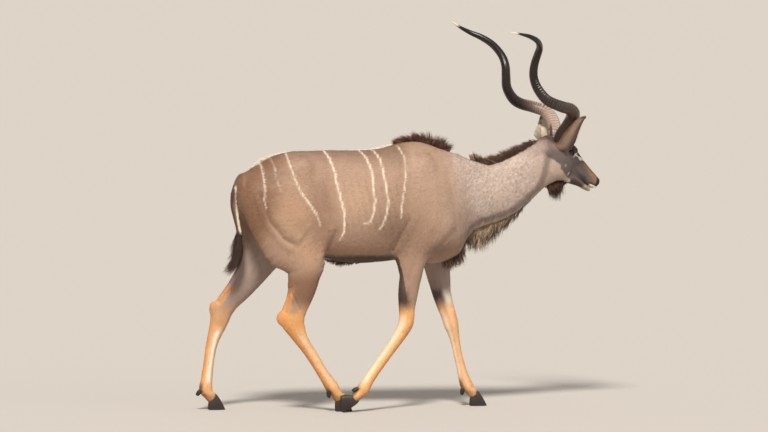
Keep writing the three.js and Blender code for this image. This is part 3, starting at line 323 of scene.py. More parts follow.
def limb_bones(stations):
    """The short straight pieces that a limb's smooth line is made of."""
    rows = refine(stations, 3)
    a, b = rows[:-1], rows[1:]
    start = a[:, [0, 2, 1]]
    line = b[:, [0, 2, 1]] - start
    length = np.linalg.norm(line, axis=1)
    axis = line / length[:, None]
    depth_axis = unit(columns(-axis[:, 2], 0 * length, axis[:, 0]))
    return {"start": start, "length": length, "axis": axis, "depth_axis": depth_axis,
            "width_axis": np.cross(depth_axis, axis), "size": np.stack([a[:, 3:5], b[:, 3:5]], axis=1)}


# Distance given to places far from a part, and how far round a limb its own distance is worked out
FAR = 1000.0
SPARE = 75.0
# How far a limb's section reaches along the limb, as a share of its smaller half size
JOINT_ROUNDING = 0.8


def limb_field(bones, points):
    """Distance to a limb, only worked out near it."""
    best = np.full(len(points), FAR)
    ends = bones["start"] + bones["axis"] * bones["length"][:, None]
    widest = bones["size"][:, :, 0].max(axis=1)
    low = np.minimum(bones["start"], ends) - widest[:, None] - SPARE
    high = np.maximum(bones["start"], ends) + widest[:, None] + SPARE
    near = np.flatnonzero(np.all((points > low.min(axis=0)) & (points < high.max(axis=0)), axis=1))
    close = points[near]
    found = np.full(len(close), FAR)
    for i in range(len(bones["length"])):
        inside = np.flatnonzero(np.all((close > low[i]) & (close < high[i]), axis=1))
        if len(inside) == 0:
            continue
        p = close[inside] - bones["start"][i]
        s = p @ bones["axis"][i]
        t = np.clip(s / bones["length"][i], 0, 1)
        (depth_a, width_a), (depth_b, width_b) = bones["size"][i]
        depth = depth_a + (depth_b - depth_a) * t
        width = width_a + (width_b - width_a) * t
        q = columns(s - t * bones["length"][i], p @ bones["width_axis"][i], p @ bones["depth_axis"][i])
        radii = columns(np.minimum(depth, width) * JOINT_ROUNDING, width, depth)
        found[inside] = np.minimum(found[inside], ellipsoid(q, radii))
    best[near] = found
    return best


NECK_BONES = limb_bones(NECK)
TAIL_BONES = limb_bones(TAIL)
LEG_BONES = {name: limb_bones(stations) for name, stations in LEGS.items()}

cy, sy = math.cos(HEAD_YAW), math.sin(HEAD_YAW)
cp, sp = math.cos(HEAD_PITCH), math.sin(HEAD_PITCH)
HEAD_AXES = np.array([[cp * cy, cp * sy, -sp], [-sy, cy, 0], [sp * cy, sp * sy, cp]])


def to_head(points):
    return (points - POLL) @ HEAD_AXES.T


def from_head(points):
    return np.asarray(points, float) @ HEAD_AXES + POLL


# Lowest and highest corner, in the head's frame, of where its distance is worked out
HEAD_BOX = np.array([[-140, -190, -290], [500, 190, 190]])


def head_field(points):
    best = np.full(len(points), FAR)
    q = to_head(points)
    near = np.flatnonzero(np.all((q > HEAD_BOX[0]) & (q < HEAD_BOX[1]), axis=1))
    q = q[near]
    d = smooth_min(section_tube(SKULL, SKULL_CAPS, SKULL_SQUARENESS, *q.T),
                   section_tube(JAW, JAW_CAPS, JAW_SQUARENESS, *q.T), BLEND["jaw"])
    for along, side, up, rx, ry, rz in HEAD_MASSES:
        across = q[:, 1] if side == 0 else np.abs(q[:, 1]) - side
        d = smooth_min(d, ellipsoid(columns(q[:, 0] - along, across, q[:, 2] - up),
                                    np.array([rx, ry, rz], float)), BLEND["face"])
    best[near] = d
    return best


def mass_field(mass, points):
    mx, my, mz, rx, ry, rz, pitch = mass
    c, s = math.cos(math.radians(pitch)), math.sin(math.radians(pitch))
    x, z = points[:, 0] - mx, points[:, 2] - mz
    return ellipsoid(columns(x * c + z * s, points[:, 1] - my, z * c - x * s),
                     np.array([rx, ry, rz], float))


def body_field(points):
    """Distance to the outer surface of the coat."""
    trunk = section_tube(TRUNK, TRUNK_CAPS, TRUNK_SQUARENESS, *points.T)
    d = smooth_min(trunk, limb_field(NECK_BONES, points), BLEND["neck"])
    for mass in MASSES:
        d = smooth_min(d, mass_field(mass, points), BLEND["mass"])
    for pair in (("hind_right", "hind_left"), ("fore_right", "fore_left")):
        legs = [limb_field(LEG_BONES[name], points) for name in pair]
        d = smooth_min(d, smooth_min(legs[0], legs[1], BLEND["legs"]), BLEND["limb"])
    for hock in HOCKS:
        d = smooth_min(d, mass_field(hock, points), BLEND["hock"])
    d = smooth_min(d, head_field(points), BLEND["head"])
    return smooth_min(d, limb_field(TAIL_BONES, points), BLEND["tail"])


def coat_depth(points):
    """How far the skin lies under the coat's surface."""
    q = to_head(points)
    high = step(520, 900, points[:, 2])
    depth = DEPTH["leg"] + (DEPTH["trunk"] - DEPTH["leg"]) * high
    on_head = step(10, 110, q[:, 0]) * (points[:, 0] > 700)
    depth = depth + (DEPTH["head"] - depth) * on_head
    on_tail = step(-860, -885, points[:, 0]) * (points[:, 2] > 820) * (points[:, 2] < 1180)
    return depth + (DEPTH["tail"] - depth) * on_tail


def limb_end(stations):
    """Where a limb's last section is, and its directions down and ahead."""
    a, b = np.array(stations[-2], float), np.array(stations[-1], float)
    down = unit(np.array([b[0] - a[0], 0, b[1] - a[1]]))
    return np.array([b[0], b[2], b[1]]), down, np.array([-down[2], 0, down[0]])


# Where a leg's skin ends: how far round its end it is cut, how far past it, and how rounded
HAIR_LINE = {"reach": 75, "past": 3, "round": 6}


def cut_feet(d, points):
    """Ends the skin of each leg at the hair line of the hoof."""
    for stations in LEGS.values():
        end, down, _ = limb_end(stations)
        near = np.flatnonzero(np.linalg.norm(points - end, axis=1) < HAIR_LINE["reach"])
        past = (points[near] - end) @ down - HAIR_LINE["past"]
        d[near] = smooth_max(d[near], past, HAIR_LINE["round"])
    return d


def segment_distance(q, a, b):
    a, b = np.asarray(a, float), np.asarray(b, float)
    line = b - a
    t = np.clip((q - a) @ line / (line @ line), 0, 1)
    return np.linalg.norm(q - a - t[:, None] * line, axis=1), t


def line_distance(q, line):
    """Distance to a line of straight pieces."""
    return np.min([segment_distance(q, a, b)[0] for a, b in zip(line[:-1], line[1:])], axis=0)


# Soft ridges (height above 0) and hollows of the head in its frame, both sides: from, to, width, height
HEAD_FOLDS = [
    [[168, 52, -28], [262, 37, -50], 8, 3.0],
    [[186, 48, -58], [275, 34, -70], 11, -2.6],
    [[205, 33, 8], [325, 27, -16], 10, -2.2],
    [[116, 60, 24], [158, 63, 22], 7, 2.2],
    [[96, 48, -150], [176, 44, -122], 12, 2.6],
    [[112, 52, -60], [150, 55, -100], 20, 2.4],
    [[206, 40, -66], [300, 35, -48], 2.6, 0.9],
    [[240, 38, -34], [206, 40, -66], 2.4, 0.8],
    [[158, 57, -4], [178, 51, -16], 2.6, -3.4],
    [[88, 60, -30], [100, 62, 24], 6, -1.6],
    [[343, 33, -50], [379, 28, -44], 7, 2.0],
    [[337, 30, -84], [357, 24, -82], 9, 1.8],
]
EYELID = {"half_length": 16.5, "half_height": 9.6, "tilt": math.radians(-12), "lid": 2.3, "rim": 2.0}


def eye_coordinates(q):
    """Along, up and outward from the middle of the eye, and its distance, in the head's frame."""
    e = columns(q[:, 0], np.abs(q[:, 1]), q[:, 2]) - EYE
    c, s = math.cos(EYELID["tilt"]), math.sin(EYELID["tilt"])
    along = e[:, 0] * c + e[:, 2] * s
    up = e[:, 2] * c - e[:, 0] * s
    return along, up, e[:, 1], np.linalg.norm(e, axis=1)


def almond(along, up):
    """Distance to the edge of the opening between the lids, negative inside."""
    length, height = EYELID["half_length"], EYELID["half_height"]
    radius = (length ** 2 + height ** 2) / (2 * height)
    low = np.hypot(along, up + radius - height) - radius
    high = np.hypot(along, up - radius + height) - radius
    return smooth_max(low, high, 2)


def mouth_height(along):
    return np.interp(along, MOUTH[:, 0], MOUTH[:, 1])


def nostril_distance(folded, fullness=1.0):
    """Distance to the nostril's comma-shaped pit, negative inside, both sides folded into one."""
    pit = np.full(len(folded), FAR)
    for low, high in zip(NOSTRIL[:-1], NOSTRIL[1:]):
        distance, t = segment_distance(folded, low[:3], high[:3])
        pit = np.minimum(pit, distance - (low[3] + (high[3] - low[3]) * t) * fullness)
    return pit


def head_detail(d, points):
    """Lids, folds, nostrils, lips and the grooves of the face, added to a distance."""
    q = to_head(points)
    near = np.flatnonzero((q[:, 0] > 40) & (q[:, 0] < 420) & (np.abs(q[:, 1]) < 110) & (np.abs(d) < 40))
    q = q[near]
    value = d[near]
    folded = columns(q[:, 0], np.abs(q[:, 1]), q[:, 2])
    for start, end, width, height in HEAD_FOLDS:
        distance, _ = segment_distance(folded, start, end)
        value = value - height * bump(distance, width)
    # Nostrils: a comma-shaped pit under a raised wing
    pit = nostril_distance(folded, 0.9)
    value = value - 2.2 * bump(pit - 4.5, 3.2)
    value = smooth_max(value, -pit, 2.5)
    # Groove down the middle of the nose pad
    value = value + 1.6 * bump(q[:, 1], 1.8) * step(379, 391, q[:, 0]) * step(-8, -18, q[:, 2])
    # Mouth, from its corner round the front, with a lip above and below it
    off = q[:, 2] - mouth_height(q[:, 0])
    fade = step(296, 312, q[:, 0])
    value = value + 3.6 * bump(off, 1.9) * fade - 1.6 * bump(np.abs(off) - 6.5, 3.6) * fade
    # Eyes: a lid over the ball, the opening, its rim and the fold above it
    along, up, outward, radius = eye_coordinates(q)
    edge = almond(along, up)
    side = outward > 0
    lid = np.where(side, radius - EYE_RADIUS - EYELID["lid"], FAR)
    value = smooth_min(value, lid, 7)
    rim = np.where(side, np.hypot(edge - 0.6, radius - EYE_RADIUS - 1.2) - EYELID["rim"], FAR)
    value = smooth_min(value, rim, 2)
    value = value + 1.7 * bump(edge - 6.5, 1.7) * step(-2, 4, up) * side * bump(radius - EYE_RADIUS - 3, 10)
    value = value + 1.0 * bump(edge - 6.0, 1.6) * step(1, -5, up) * side * bump(radius - EYE_RADIUS - 3, 10)
    socket = np.where(side, np.maximum(edge, EYE_RADIUS - 3.0 - radius), FAR)
    value = smooth_max(value, -socket, 0.8)
    d = d.copy()
    d[near] = value
    return d


# Soft ridges and hollows of the body: a line of x and z, side (-1 near, 1 far, 0 both), width, height
BODY_FOLDS = [
    [[[-780, 1170], [-729, 1028], [-653, 936], [-604, 908]], -1, 13, -6.0],
    [[[-800, 1150], [-756, 1018], [-682, 915], [-630, 880]], -1, 20, 5.0],
    [[[-690, 1040], [-620, 960], [-580, 935]], -1, 26, 4.0],
    [[[-604, 900], [-551, 966], [-529, 1000]], -1, 9, 3.2],
    [[[-590, 890], [-536, 950], [-505, 990]], -1, 10, -2.6],
    [[[-780, 1170], [-735, 1030], [-690, 940], [-640, 900]], 1, 14, -5.0],
    [[[-470, 1300], [-459, 1170], [-437, 1080]], 0, 34, -7.0],
    [[[-520, 1330], [-505, 1200], [-470, 1060]], 0, 26, 3.0],
    [[[-384, 975], [-412, 885], [-430, 820]], 0, 12, -5.0],
    [[[-410, 985], [-440, 890], [-458, 820]], 0, 16, 3.6],
    [[[13, 1030], [-41, 926], [-65, 868]], 0, 11, -6.0],
    [[[48, 1030], [-6, 930], [-34, 870]], 0, 20, 4.0],
    [[[60, 1330], [34, 1180], [13, 1030]], 0, 26, -3.0],
    [[[150, 1330], [190, 1120]], 0, 22, 3.0],
    [[[120, 820], [196, 886], [270, 960]], -1, 20, -4.5],
    [[[120, 820], [196, 886], [270, 960]], 1, 20, -4.0],
    [[[196, 1110], [140, 985]], 0, 26, 3.5],
    [[[262, 1270], [276, 1110], [300, 990]], 0, 20, -4.0],
    [[[-640, 1330], [-760, 1270]], 0, 34, 2.5],
    [[[60, 820], [20, 700]], -1, 12, -2.6],
    [[[232, 820], [250, 700]], 1, 12, -2.6],
]
RIBS = {"count": 9, "first": -20, "apart": 40, "lean": 70, "top": 1270, "bottom": 960, "width": 11,
        "height": 1.3}
# Hollows between tendon and bone of the lower legs: leg, from and to (x, z), width, height, at mid side
LEG_FOLDS = [
    ["hind_right", [-624, 668], [-648, 540], 8, -5.0],
    ["hind_right", [-612, 640], [-572, 555], 7, -3.6],
    ["hind_left", [-905, 640], [-960, 575], 9, -5.5],
    ["hind_right", [-560, 415], [-470, 250], 6, -3.2],
    ["hind_left", [-985, 420], [-1016, 240], 6, -3.0],
    ["fore_right", [-10, 425], [-150, 235], 6, -2.8],
    ["fore_left", [305, 400], [340, 260], 6, -2.6],
    ["fore_right", [0, 690], [0, 560], 9, -2.2],
    ["fore_left", [222, 690], [252, 560], 9, -2.2],
]


def body_detail(d, points):
    near = np.flatnonzero((np.abs(d) < 40) & (points[:, 0] < 420) & (points[:, 2] > 150))
    p = points[near]
    flat = columns(p[:, 0], p[:, 2])
    lateral = step(40, 90, np.abs(p[:, 1]))
    value = d[near].copy()
    for line, side, width, height in BODY_FOLDS:
        distance = line_distance(flat, line)
        beside = lateral if side == 0 else lateral * (p[:, 1] * side > 0)
        value -= height * bump(distance, width) * beside
    for i in range(RIBS["count"]):
        x = RIBS["first"] - RIBS["apart"] * i
        half = RIBS["lean"] / 2
        distance, _ = segment_distance(flat, [x - half, RIBS["top"]], [x + half, RIBS["bottom"]])
        value -= RIBS["height"] * bump(distance, RIBS["width"]) * lateral
    for leg, start, end, width, height in LEG_FOLDS:
        side = 1 if leg.endswith("left") else -1
        distance, _ = segment_distance(flat, start, end)
        beside = p[:, 1] * side > 60
        value -= height * bump(distance, width) * beside
    d = d.copy()
    d[near] = value
    return d


def skin_field(points, fine=False):
    d = body_field(points) + coat_depth(points)
    if fine:
        d = body_detail(d, points)
        d = head_detail(d, points)
    return cut_feet(d, points)


def gradient(field, points, reach=0.5):
    g = np.empty_like(points)
    for axis in range(3):
        shift = np.zeros(3)
        shift[axis] = reach
        g[:, axis] = (field(points + shift) - field(points - shift)) / (2 * reach)
    return g


def settle(field, points, rounds, most):
    """Points moved onto a field's surface."""
    points = points.copy()
    for _ in range(rounds):
        d = field(points)
        g = gradient(field, points)
        steep = np.maximum((g * g).sum(axis=1), 0.15)
        move = np.clip(d / steep, -most, most)
        points -= move[:, None] * g
    return points


# The skin's mesh

GRID = {"low": np.array([-1110.0, -270.0, 30.0]), "high": np.array([1160.0, 310.0, 1570.0]), "cell": 10.0}


def cut(axis, part):
    """A slice along one axis of a grid, and everything along the other two."""
    parts = [slice(None)] * 3
    parts[axis] = part
    return tuple(parts)


def grid_values(field):
    """The field on a grid, worked out exactly only near the surface."""
    cell = GRID["cell"]
    count = np.ceil((GRID["high"] - GRID["low"]) / cell / 2).astype(int) + 1
    axes = [GRID["low"][k] + 2 * cell * np.arange(count[k]) for k in range(3)]
    coarse_points = np.stack(np.meshgrid(*axes, indexing="ij"), axis=-1).reshape(-1, 3)
    coarse = field(coarse_points).reshape(count)
    fine = coarse
    for axis in range(3):
        size = list(fine.shape)
        size[axis] = 2 * size[axis] - 1
        wide = np.empty(size)
        wide[cut(axis, slice(0, None, 2))] = fine
        middles = (fine[cut(axis, slice(0, -1))] + fine[cut(axis, slice(1, None))]) / 2
        wide[cut(axis, slice(1, None, 2))] = middles
        fine = wide
    index = np.argwhere(np.abs(fine) < 2.9 * cell)
    fine[tuple(index.T)] = field(GRID["low"] + cell * index)
    return fine


def surface_net(values):
    """Vertices and quads of the surface where the values change sign, a vertex for each cell it crosses."""
    inside = values < 0
    shape = np.array(values.shape) - 1
    total = np.zeros(tuple(shape) + (3,))
    hits = np.zeros(tuple(shape))
    corner = [slice(0, -1), slice(1, None)]
    for axis in range(3):
        others = [k for k in range(3) if k != axis]
        for i in (0, 1):
            for j in (0, 1):
                pick_a, pick_b = [None] * 3, [None] * 3
                pick_a[axis], pick_b[axis] = corner[0], corner[1]
                pick_a[others[0]] = pick_b[others[0]] = corner[i]
                pick_a[others[1]] = pick_b[others[1]] = corner[j]
                a, b = values[tuple(pick_a)], values[tuple(pick_b)]
                crossed = (a < 0) != (b < 0)
                share = np.where(crossed, a / np.where(crossed, a - b, 1), 0)
                total[..., axis] += share
                total[..., others[0]] += np.where(crossed, i, 0)
                total[..., others[1]] += np.where(crossed, j, 0)
                hits += crossed
    active = hits > 0
    number = np.full(tuple(shape), -1)
    number[active] = np.arange(active.sum())
    cells = np.argwhere(active)
    vertices = GRID["low"] + GRID["cell"] * (cells + total[active] / hits[active][:, None])
    quads = []
    for axis in range(3):
        u, v = [(1, 2), (2, 0), (0, 1)][axis]
        a = [slice(None)] * 3
        b = [slice(None)] * 3
        a[axis], b[axis] = slice(0, -1), slice(1, None)
        for other in (u, v):
            a[other] = b[other] = slice(1, -1)
        first, second = inside[tuple(a)], inside[tuple(b)]
        edges = np.argwhere(first != second)
        leaving = first[tuple(edges.T)]
        edges[:, u] += 1
        edges[:, v] += 1
        around = []
        for du, dv in ((-1, -1), (0, -1), (0, 0), (-1, 0)):
            cell = edges.copy()
            cell[:, u] += du
            cell[:, v] += dv
            around.append(number[tuple(cell.T)])
        quad = columns(*around)
        quad[~leaving] = quad[~leaving][:, ::-1]
        quads.append(quad)
    return vertices, np.concatenate(quads)


def quads_to_triangles(vertices, quads):
    p = vertices[quads]
    short = np.linalg.norm(p[:, 0] - p[:, 2], axis=1) < np.linalg.norm(p[:, 1] - p[:, 3], axis=1)
    first = np.where(short[:, None], quads[:, [0, 1, 2]], quads[:, [0, 1, 3]])
    second = np.where(short[:, None], quads[:, [0, 2, 3]], quads[:, [1, 2, 3]])
    return np.concatenate([first, second])


def split(vertices, triangles, marked):
    """Halves every edge between two marked vertices, and divides the triangles on it."""
    edges = np.concatenate([triangles[:, [0, 1]], triangles[:, [1, 2]], triangles[:, [2, 0]]])
    edges = np.sort(edges, axis=1)
    keys = edges[:, 0].astype(np.int64) * len(vertices) + edges[:, 1]
    unique, first, back = np.unique(keys, return_index=True, return_inverse=True)
    pairs = edges[first]
    halved = marked[pairs[:, 0]] & marked[pairs[:, 1]]
    number = np.full(len(unique), -1)
    number[halved] = len(vertices) + np.arange(halved.sum())
    middles = (vertices[pairs[halved, 0]] + vertices[pairs[halved, 1]]) / 2
    mid = number[back.reshape(3, -1)].T
    count = (mid >= 0).sum(axis=1)
    out = [triangles[count == 0]]
    t, m = triangles[count == 3], mid[count == 3]
    out += [columns(*corners) for corners in (
        (t[:, 0], m[:, 0], m[:, 2]), (m[:, 0], t[:, 1], m[:, 1]), (m[:, 2], m[:, 1], t[:, 2]),
        (m[:, 0], m[:, 1], m[:, 2]))]
    t, m = triangles[count == 1], mid[count == 1]
    which = np.argmax(m >= 0, axis=1)
    rows = np.arange(len(t))
    a, b, c = t[rows, which], t[rows, (which + 1) % 3], t[rows, (which + 2) % 3]
    middle = m[rows, which]
    out += [columns(a, middle, c), columns(middle, b, c)]
    return np.concatenate([vertices, middles]), np.concatenate(out), len(vertices)


def vertex_normals(vertices, triangles):
    p = vertices[triangles]
    face = np.cross(p[:, 1] - p[:, 0], p[:, 2] - p[:, 0])
    normals = np.zeros_like(vertices)
    for k in range(3):
        for axis in range(3):
            normals[:, axis] += np.bincount(triangles[:, k], weights=face[:, axis], minlength=len(vertices))
    return unit(normals)


def near_eye(points, reach):
    along, up, outward, radius = eye_coordinates(to_head(points))
    return (outward > -6) & (radius < EYE_RADIUS + 14) & (np.hypot(along, up) < reach)


def skin_mesh():
    vertices, quads = surface_net(grid_values(skin_field))
    triangles = quads_to_triangles(vertices, quads)
    vertices = settle(skin_field, vertices, 2, 6)

    def finer(chosen, rounds):
        nonlocal vertices, triangles
        vertices, triangles, old = split(vertices, triangles, chosen)
        vertices[old:] = settle(skin_field, vertices[old:], rounds, 4)

    q = to_head(vertices)
    head = (q[:, 0] > 20) & (vertices[:, 0] > 760)
    legs = vertices[:, 2] < 700
    tail = (vertices[:, 0] < -840) & (vertices[:, 2] < 1160)
    finer(head | legs | tail, 2)
    q = to_head(vertices)
    finer((q[:, 0] > 70) & (vertices[:, 0] > 800) & (np.abs(q[:, 1]) < 120), 1)
    q = to_head(vertices)
    muzzle = (q[:, 0] > 296) & (vertices[:, 0] > 900)
    finer(near_eye(vertices, 30) | muzzle, 1)
    vertices = settle(lambda p: skin_field(p, fine=True), vertices, 3, 2.5)
    marked = near_eye(vertices, 25)
    vertices, triangles, old = split(vertices, triangles, marked)
    chosen = near_eye(vertices, 28)
    vertices[chosen] = settle(lambda p: skin_field(p, fine=True), vertices[chosen], 3, 1.2)
    return vertices, triangles


# An unwrap of the skin's own shape

# Charts on a unit square: low corner and size, for each part of the animal
CHARTS = {
    "trunk": (0.01, 0.01, 0.60, 0.56),
    "neck": (0.63, 0.01, 0.36, 0.30),
    "head": (0.63, 0.33, 0.36, 0.34),
    "hind_right": (0.01, 0.59, 0.14, 0.40),
    "hind_left": (0.16, 0.59, 0.14, 0.40),
    "fore_right": (0.31, 0.59, 0.14, 0.40),
    "fore_left": (0.46, 0.59, 0.14, 0.40),
    "tail": (0.62, 0.69, 0.07, 0.30),
    "ear_right": (0.71, 0.69, 0.13, 0.30),
    "ear_left": (0.86, 0.69, 0.13, 0.30),
}
CHART_NAMES = list(CHARTS)


def limb_centre(stations, z):
    """A limb's middle in x and y, its half depth and its half width at heights."""
    rows = np.array(stations, float)[::-1]
    return [np.interp(z, rows[:, 1], rows[:, k]) for k in (0, 2, 3, 4)]


def neck_line(x, index):
    """A column of the neck's table at places along x."""
    return np.interp(x, [row[0] for row in NECK], [row[index] for row in NECK])


def chart_of(points):
    """Which chart each place of the skin belongs to."""
    q = to_head(points)
    chart = np.zeros(len(points), int)
    x, y, z = points.T
    chart[(x > 331 - (z - 1141) * 0.257)] = CHART_NAMES.index("neck")
    chart[(x > 780) & (q[:, 0] > 25)] = CHART_NAMES.index("head")
    hind = (z < 780 + (-385 - x) * 0.43) & (x < -250)
    fore = (z < 800) & (x > -350) & (x < 480) & ~((z > 700) & (x < -150))
    for name in LEGS:
        side = y > 0 if name.endswith("left") else y <= 0
        own = hind if name.startswith("hind") else fore
        chart[own & side] = CHART_NAMES.index(name)
    low = z < 560
    for name, stations in LEGS.items():
        centre, across, depth, width = limb_centre(stations, z)
        close = np.hypot((x - centre) / (depth + 12), (y - across) / (width + 12)) < 1.25
        chart[low & close] = CHART_NAMES.index(name)
    chart[(x < -840) & (z < 1190) & (np.abs(y) < 40)] = CHART_NAMES.index("tail")
    return chart


def chart_place(points, chart):
    """Share along and turn round each chart's axis, from 0 to 1."""
    x, y, z = points.T
    q = to_head(points)
    along = np.zeros(len(points))
    turn = np.zeros(len(points))
    for index, name in enumerate(CHART_NAMES):
        own = chart == index
        if not own.any():
            continue
        if name == "trunk":
            centre = (column(TRUNK, 1, x[own]) + column(TRUNK, 2, x[own])) / 2
            along[own] = (x[own] + 920) / 1340
            turn[own] = np.arctan2(y[own], -(z[own] - centre)) / (2 * math.pi)
        elif name == "neck":
            centre, across = neck_line(x[own], 1), neck_line(x[own], 2)
            along[own] = (x[own] - 240) / 640
            turn[own] = np.arctan2(y[own] - across, -(z[own] - centre)) / (2 * math.pi)
        elif name == "head":
            along[own] = q[own, 0] / 400
            turn[own] = np.arctan2(q[own, 1], -(q[own, 2] + 45)) / (2 * math.pi)
        elif name == "tail":
            centre = limb_centre(TAIL, z[own])[0]
            along[own] = (1200 - z[own]) / 400
            turn[own] = np.arctan2(y[own], centre - x[own]) / (2 * math.pi)
        elif name in LEGS:
            centre, across, _, _ = limb_centre(LEGS[name], z[own])
            along[own] = (1000 - z[own]) / 1000
            turn[own] = np.arctan2(y[own] - across, centre - x[own]) / (2 * math.pi)
    return along, turn + 0.5


def on_chart(chart, along, turn):
    frames = np.array([CHARTS[name] for name in CHART_NAMES])[chart]
    u = frames[..., 0] + frames[..., 2] * np.clip(along, 0, 1)
    v = frames[..., 1] + frames[..., 3] * np.clip(turn * 0.94 + 0.03, 0, 1)
    return columns(u, v)


def skin_unwrap(vertices, triangles):
    centre = vertices[triangles].mean(axis=1)
    chart = chart_of(centre)
    _, middle = chart_place(centre, chart)
    corners = []
    for k in range(3):
        along, turn = chart_place(vertices[triangles[:, k]], chart)
        turn = turn - np.round(turn - middle)
        corners.append(on_chart(chart, along, turn))
    return np.stack(corners, axis=1).reshape(-1, 2)


# Markings

FAWN = srgb(168, 134, 109)
GREY = srgb(154, 128, 110)
RUMP = srgb(120, 84, 60)
NECK_GREY = srgb(180, 159, 145)
CREAM = srgb(242, 228, 206)
TAN = srgb(224, 168, 110)
ORANGE = srgb(212, 146, 84)
LILAC = srgb(160, 141, 131)
DARK = srgb(62, 44, 36)
BLACK = srgb(20, 16, 15)
# Face colour: the face's own grey-brown, darkened further by painted shade of the ear and horns
FACE_TONE_AND_SHADE = srgb(98, 87, 83)
JOWL = srgb(182, 160, 144)
BRIDGE = srgb(136, 98, 72)
REDDISH = srgb(68, 38, 32)

# White stripes: their line from the back down, x and z, half width and how bright, right side then left
STRIPES_RIGHT = [
    [[[-762, 1345], [-758, 1252], [-760, 1146], [-750, 1092]], 4.4, 0.8],
    [[[-709, 1370], [-696, 1302], [-689, 1241], [-668, 1187]], 3.4, 0.4],
    [[[-620, 1400], [-620, 1336], [-598, 1265], [-565, 1186], [-517, 1121], [-479, 1057],
      [-462, 1003]], 4.4, 0.85],
    [[[-424, 1408], [-395, 1348], [-381, 1297], [-374, 1237], [-353, 1151], [-338, 1087], [-332, 1022],
      [-338, 963], [-354, 926]], 5.0, 1.0],
    [[[-229, 1400], [-198, 1355], [-180, 1295], [-174, 1218], [-168, 1138], [-180, 1058], [-196, 1021],
      [-229, 1016]], 4.4, 0.9],
    [[[-158, 1404], [-124, 1344], [-117, 1284], [-103, 1207], [-98, 1137], [-104, 1068], [-126, 1009],
      [-148, 982]], 4.4, 0.9],
    [[[-20, 1415], [9, 1357], [10, 1292], [0, 1227], [-11, 1162], [-23, 1099], [-28, 1040]], 4.0, 0.75],
]
STRIPES_LEFT = [
    [[[-748, 1350], [-742, 1240], [-736, 1120]], 4.4, 0.75],
    [[[-655, 1390], [-640, 1290], [-615, 1180], [-590, 1090]], 4.4, 0.8],
    [[[-520, 1404], [-500, 1300], [-470, 1180], [-440, 1060], [-430, 980]], 4.4, 0.85],
    [[[-385, 1408], [-360, 1310], [-345, 1190], [-330, 1060], [-338, 950]], 5.0, 1.0],
    [[[-262, 1404], [-238, 1320], [-222, 1200], [-215, 1080], [-228, 1000]], 4.4, 0.85],
    [[[-130, 1408], [-104, 1320], [-90, 1210], [-92, 1090], [-112, 1000]], 4.4, 0.9],
    [[[-10, 1420], [14, 1330], [8, 1220], [-8, 1100]], 4.0, 0.65],
]


def stripe_weight(points):
    x, y, z = points.T
    wander = noise(points, 80, 5) * 2.5
    weight = np.zeros(len(points))
    for side, stripes in ((-1, STRIPES_RIGHT), (1, STRIPES_LEFT)):
        own = np.flatnonzero((y * side > -6) & (z > 880) & (x < 120) & (x > -860))
        flat = columns(x[own] + wander[own], z[own])
        best = np.zeros(len(own))
        for line, half, bright in stripes:
            nearest = line_distance(flat, line)
            fade = step(line[-1][1] - 30, line[-1][1] + 50, z[own]) * 0.6 + 0.4
            best = np.maximum(best, bright * fade * step(half + 3.0, half - 3.0, nearest))
        weight[own] = np.maximum(weight[own], best)
    grain = 0.82 + 0.18 * noise(points, [9, 9, 16], 8)
    return weight * grain


def mix(colour, other, weight):
    weight = np.clip(np.asarray(weight, float), 0, 1)[..., None]
    return colour * (1 - weight) + np.asarray(other) * weight


def leg_front(points, name):
    """Place on a leg from -1 at its back to 1 at its front, and from -1 to 1 from side to side."""
    x, y, z = points.T
    centre, across, depth, width = limb_centre(LEGS[name], z)
    return (x - centre) / depth, (y - across) / width


# Broad patches on trunk and thigh, painted shade in the flank hollow, behind and under the elbow and low on
# the side, and painted light on the mid side, haunch, stifle and shoulder: middle x and z, half sizes,
# colour, weight
BODY_LIGHT_AND_SHADE = [
    [-442, 1110, 66, 190, (134, 100, 78), 0.7],
    [-60, 990, 130, 120, (116, 90, 73), 0.8],
    [-300, 880, 200, 60, (150, 114, 92), 0.6],
    [-280, 1140, 120, 110, (192, 156, 128), 0.6],
    [-530, 840, 80, 90, (196, 152, 118), 0.5],
    [-600, 1070, 70, 90, (190, 148, 114), 0.45],
    [130, 1240, 90, 130, (188, 156, 134), 0.5],
    [70, 900, 70, 70, (158, 124, 102), 0.5],
]
# Painted shade in the folds of the flank, elbow and thigh: a line of x and z, width, weight
FOLD_SHADE_LINES = [
    [[[-384, 975], [-412, 885], [-430, 820]], 9, 0.55],
    [[[13, 1030], [-41, 926], [-65, 868]], 7, 0.5],
    [[[-780, 1170], [-729, 1028], [-653, 936], [-604, 908]], 7, 0.6],
]


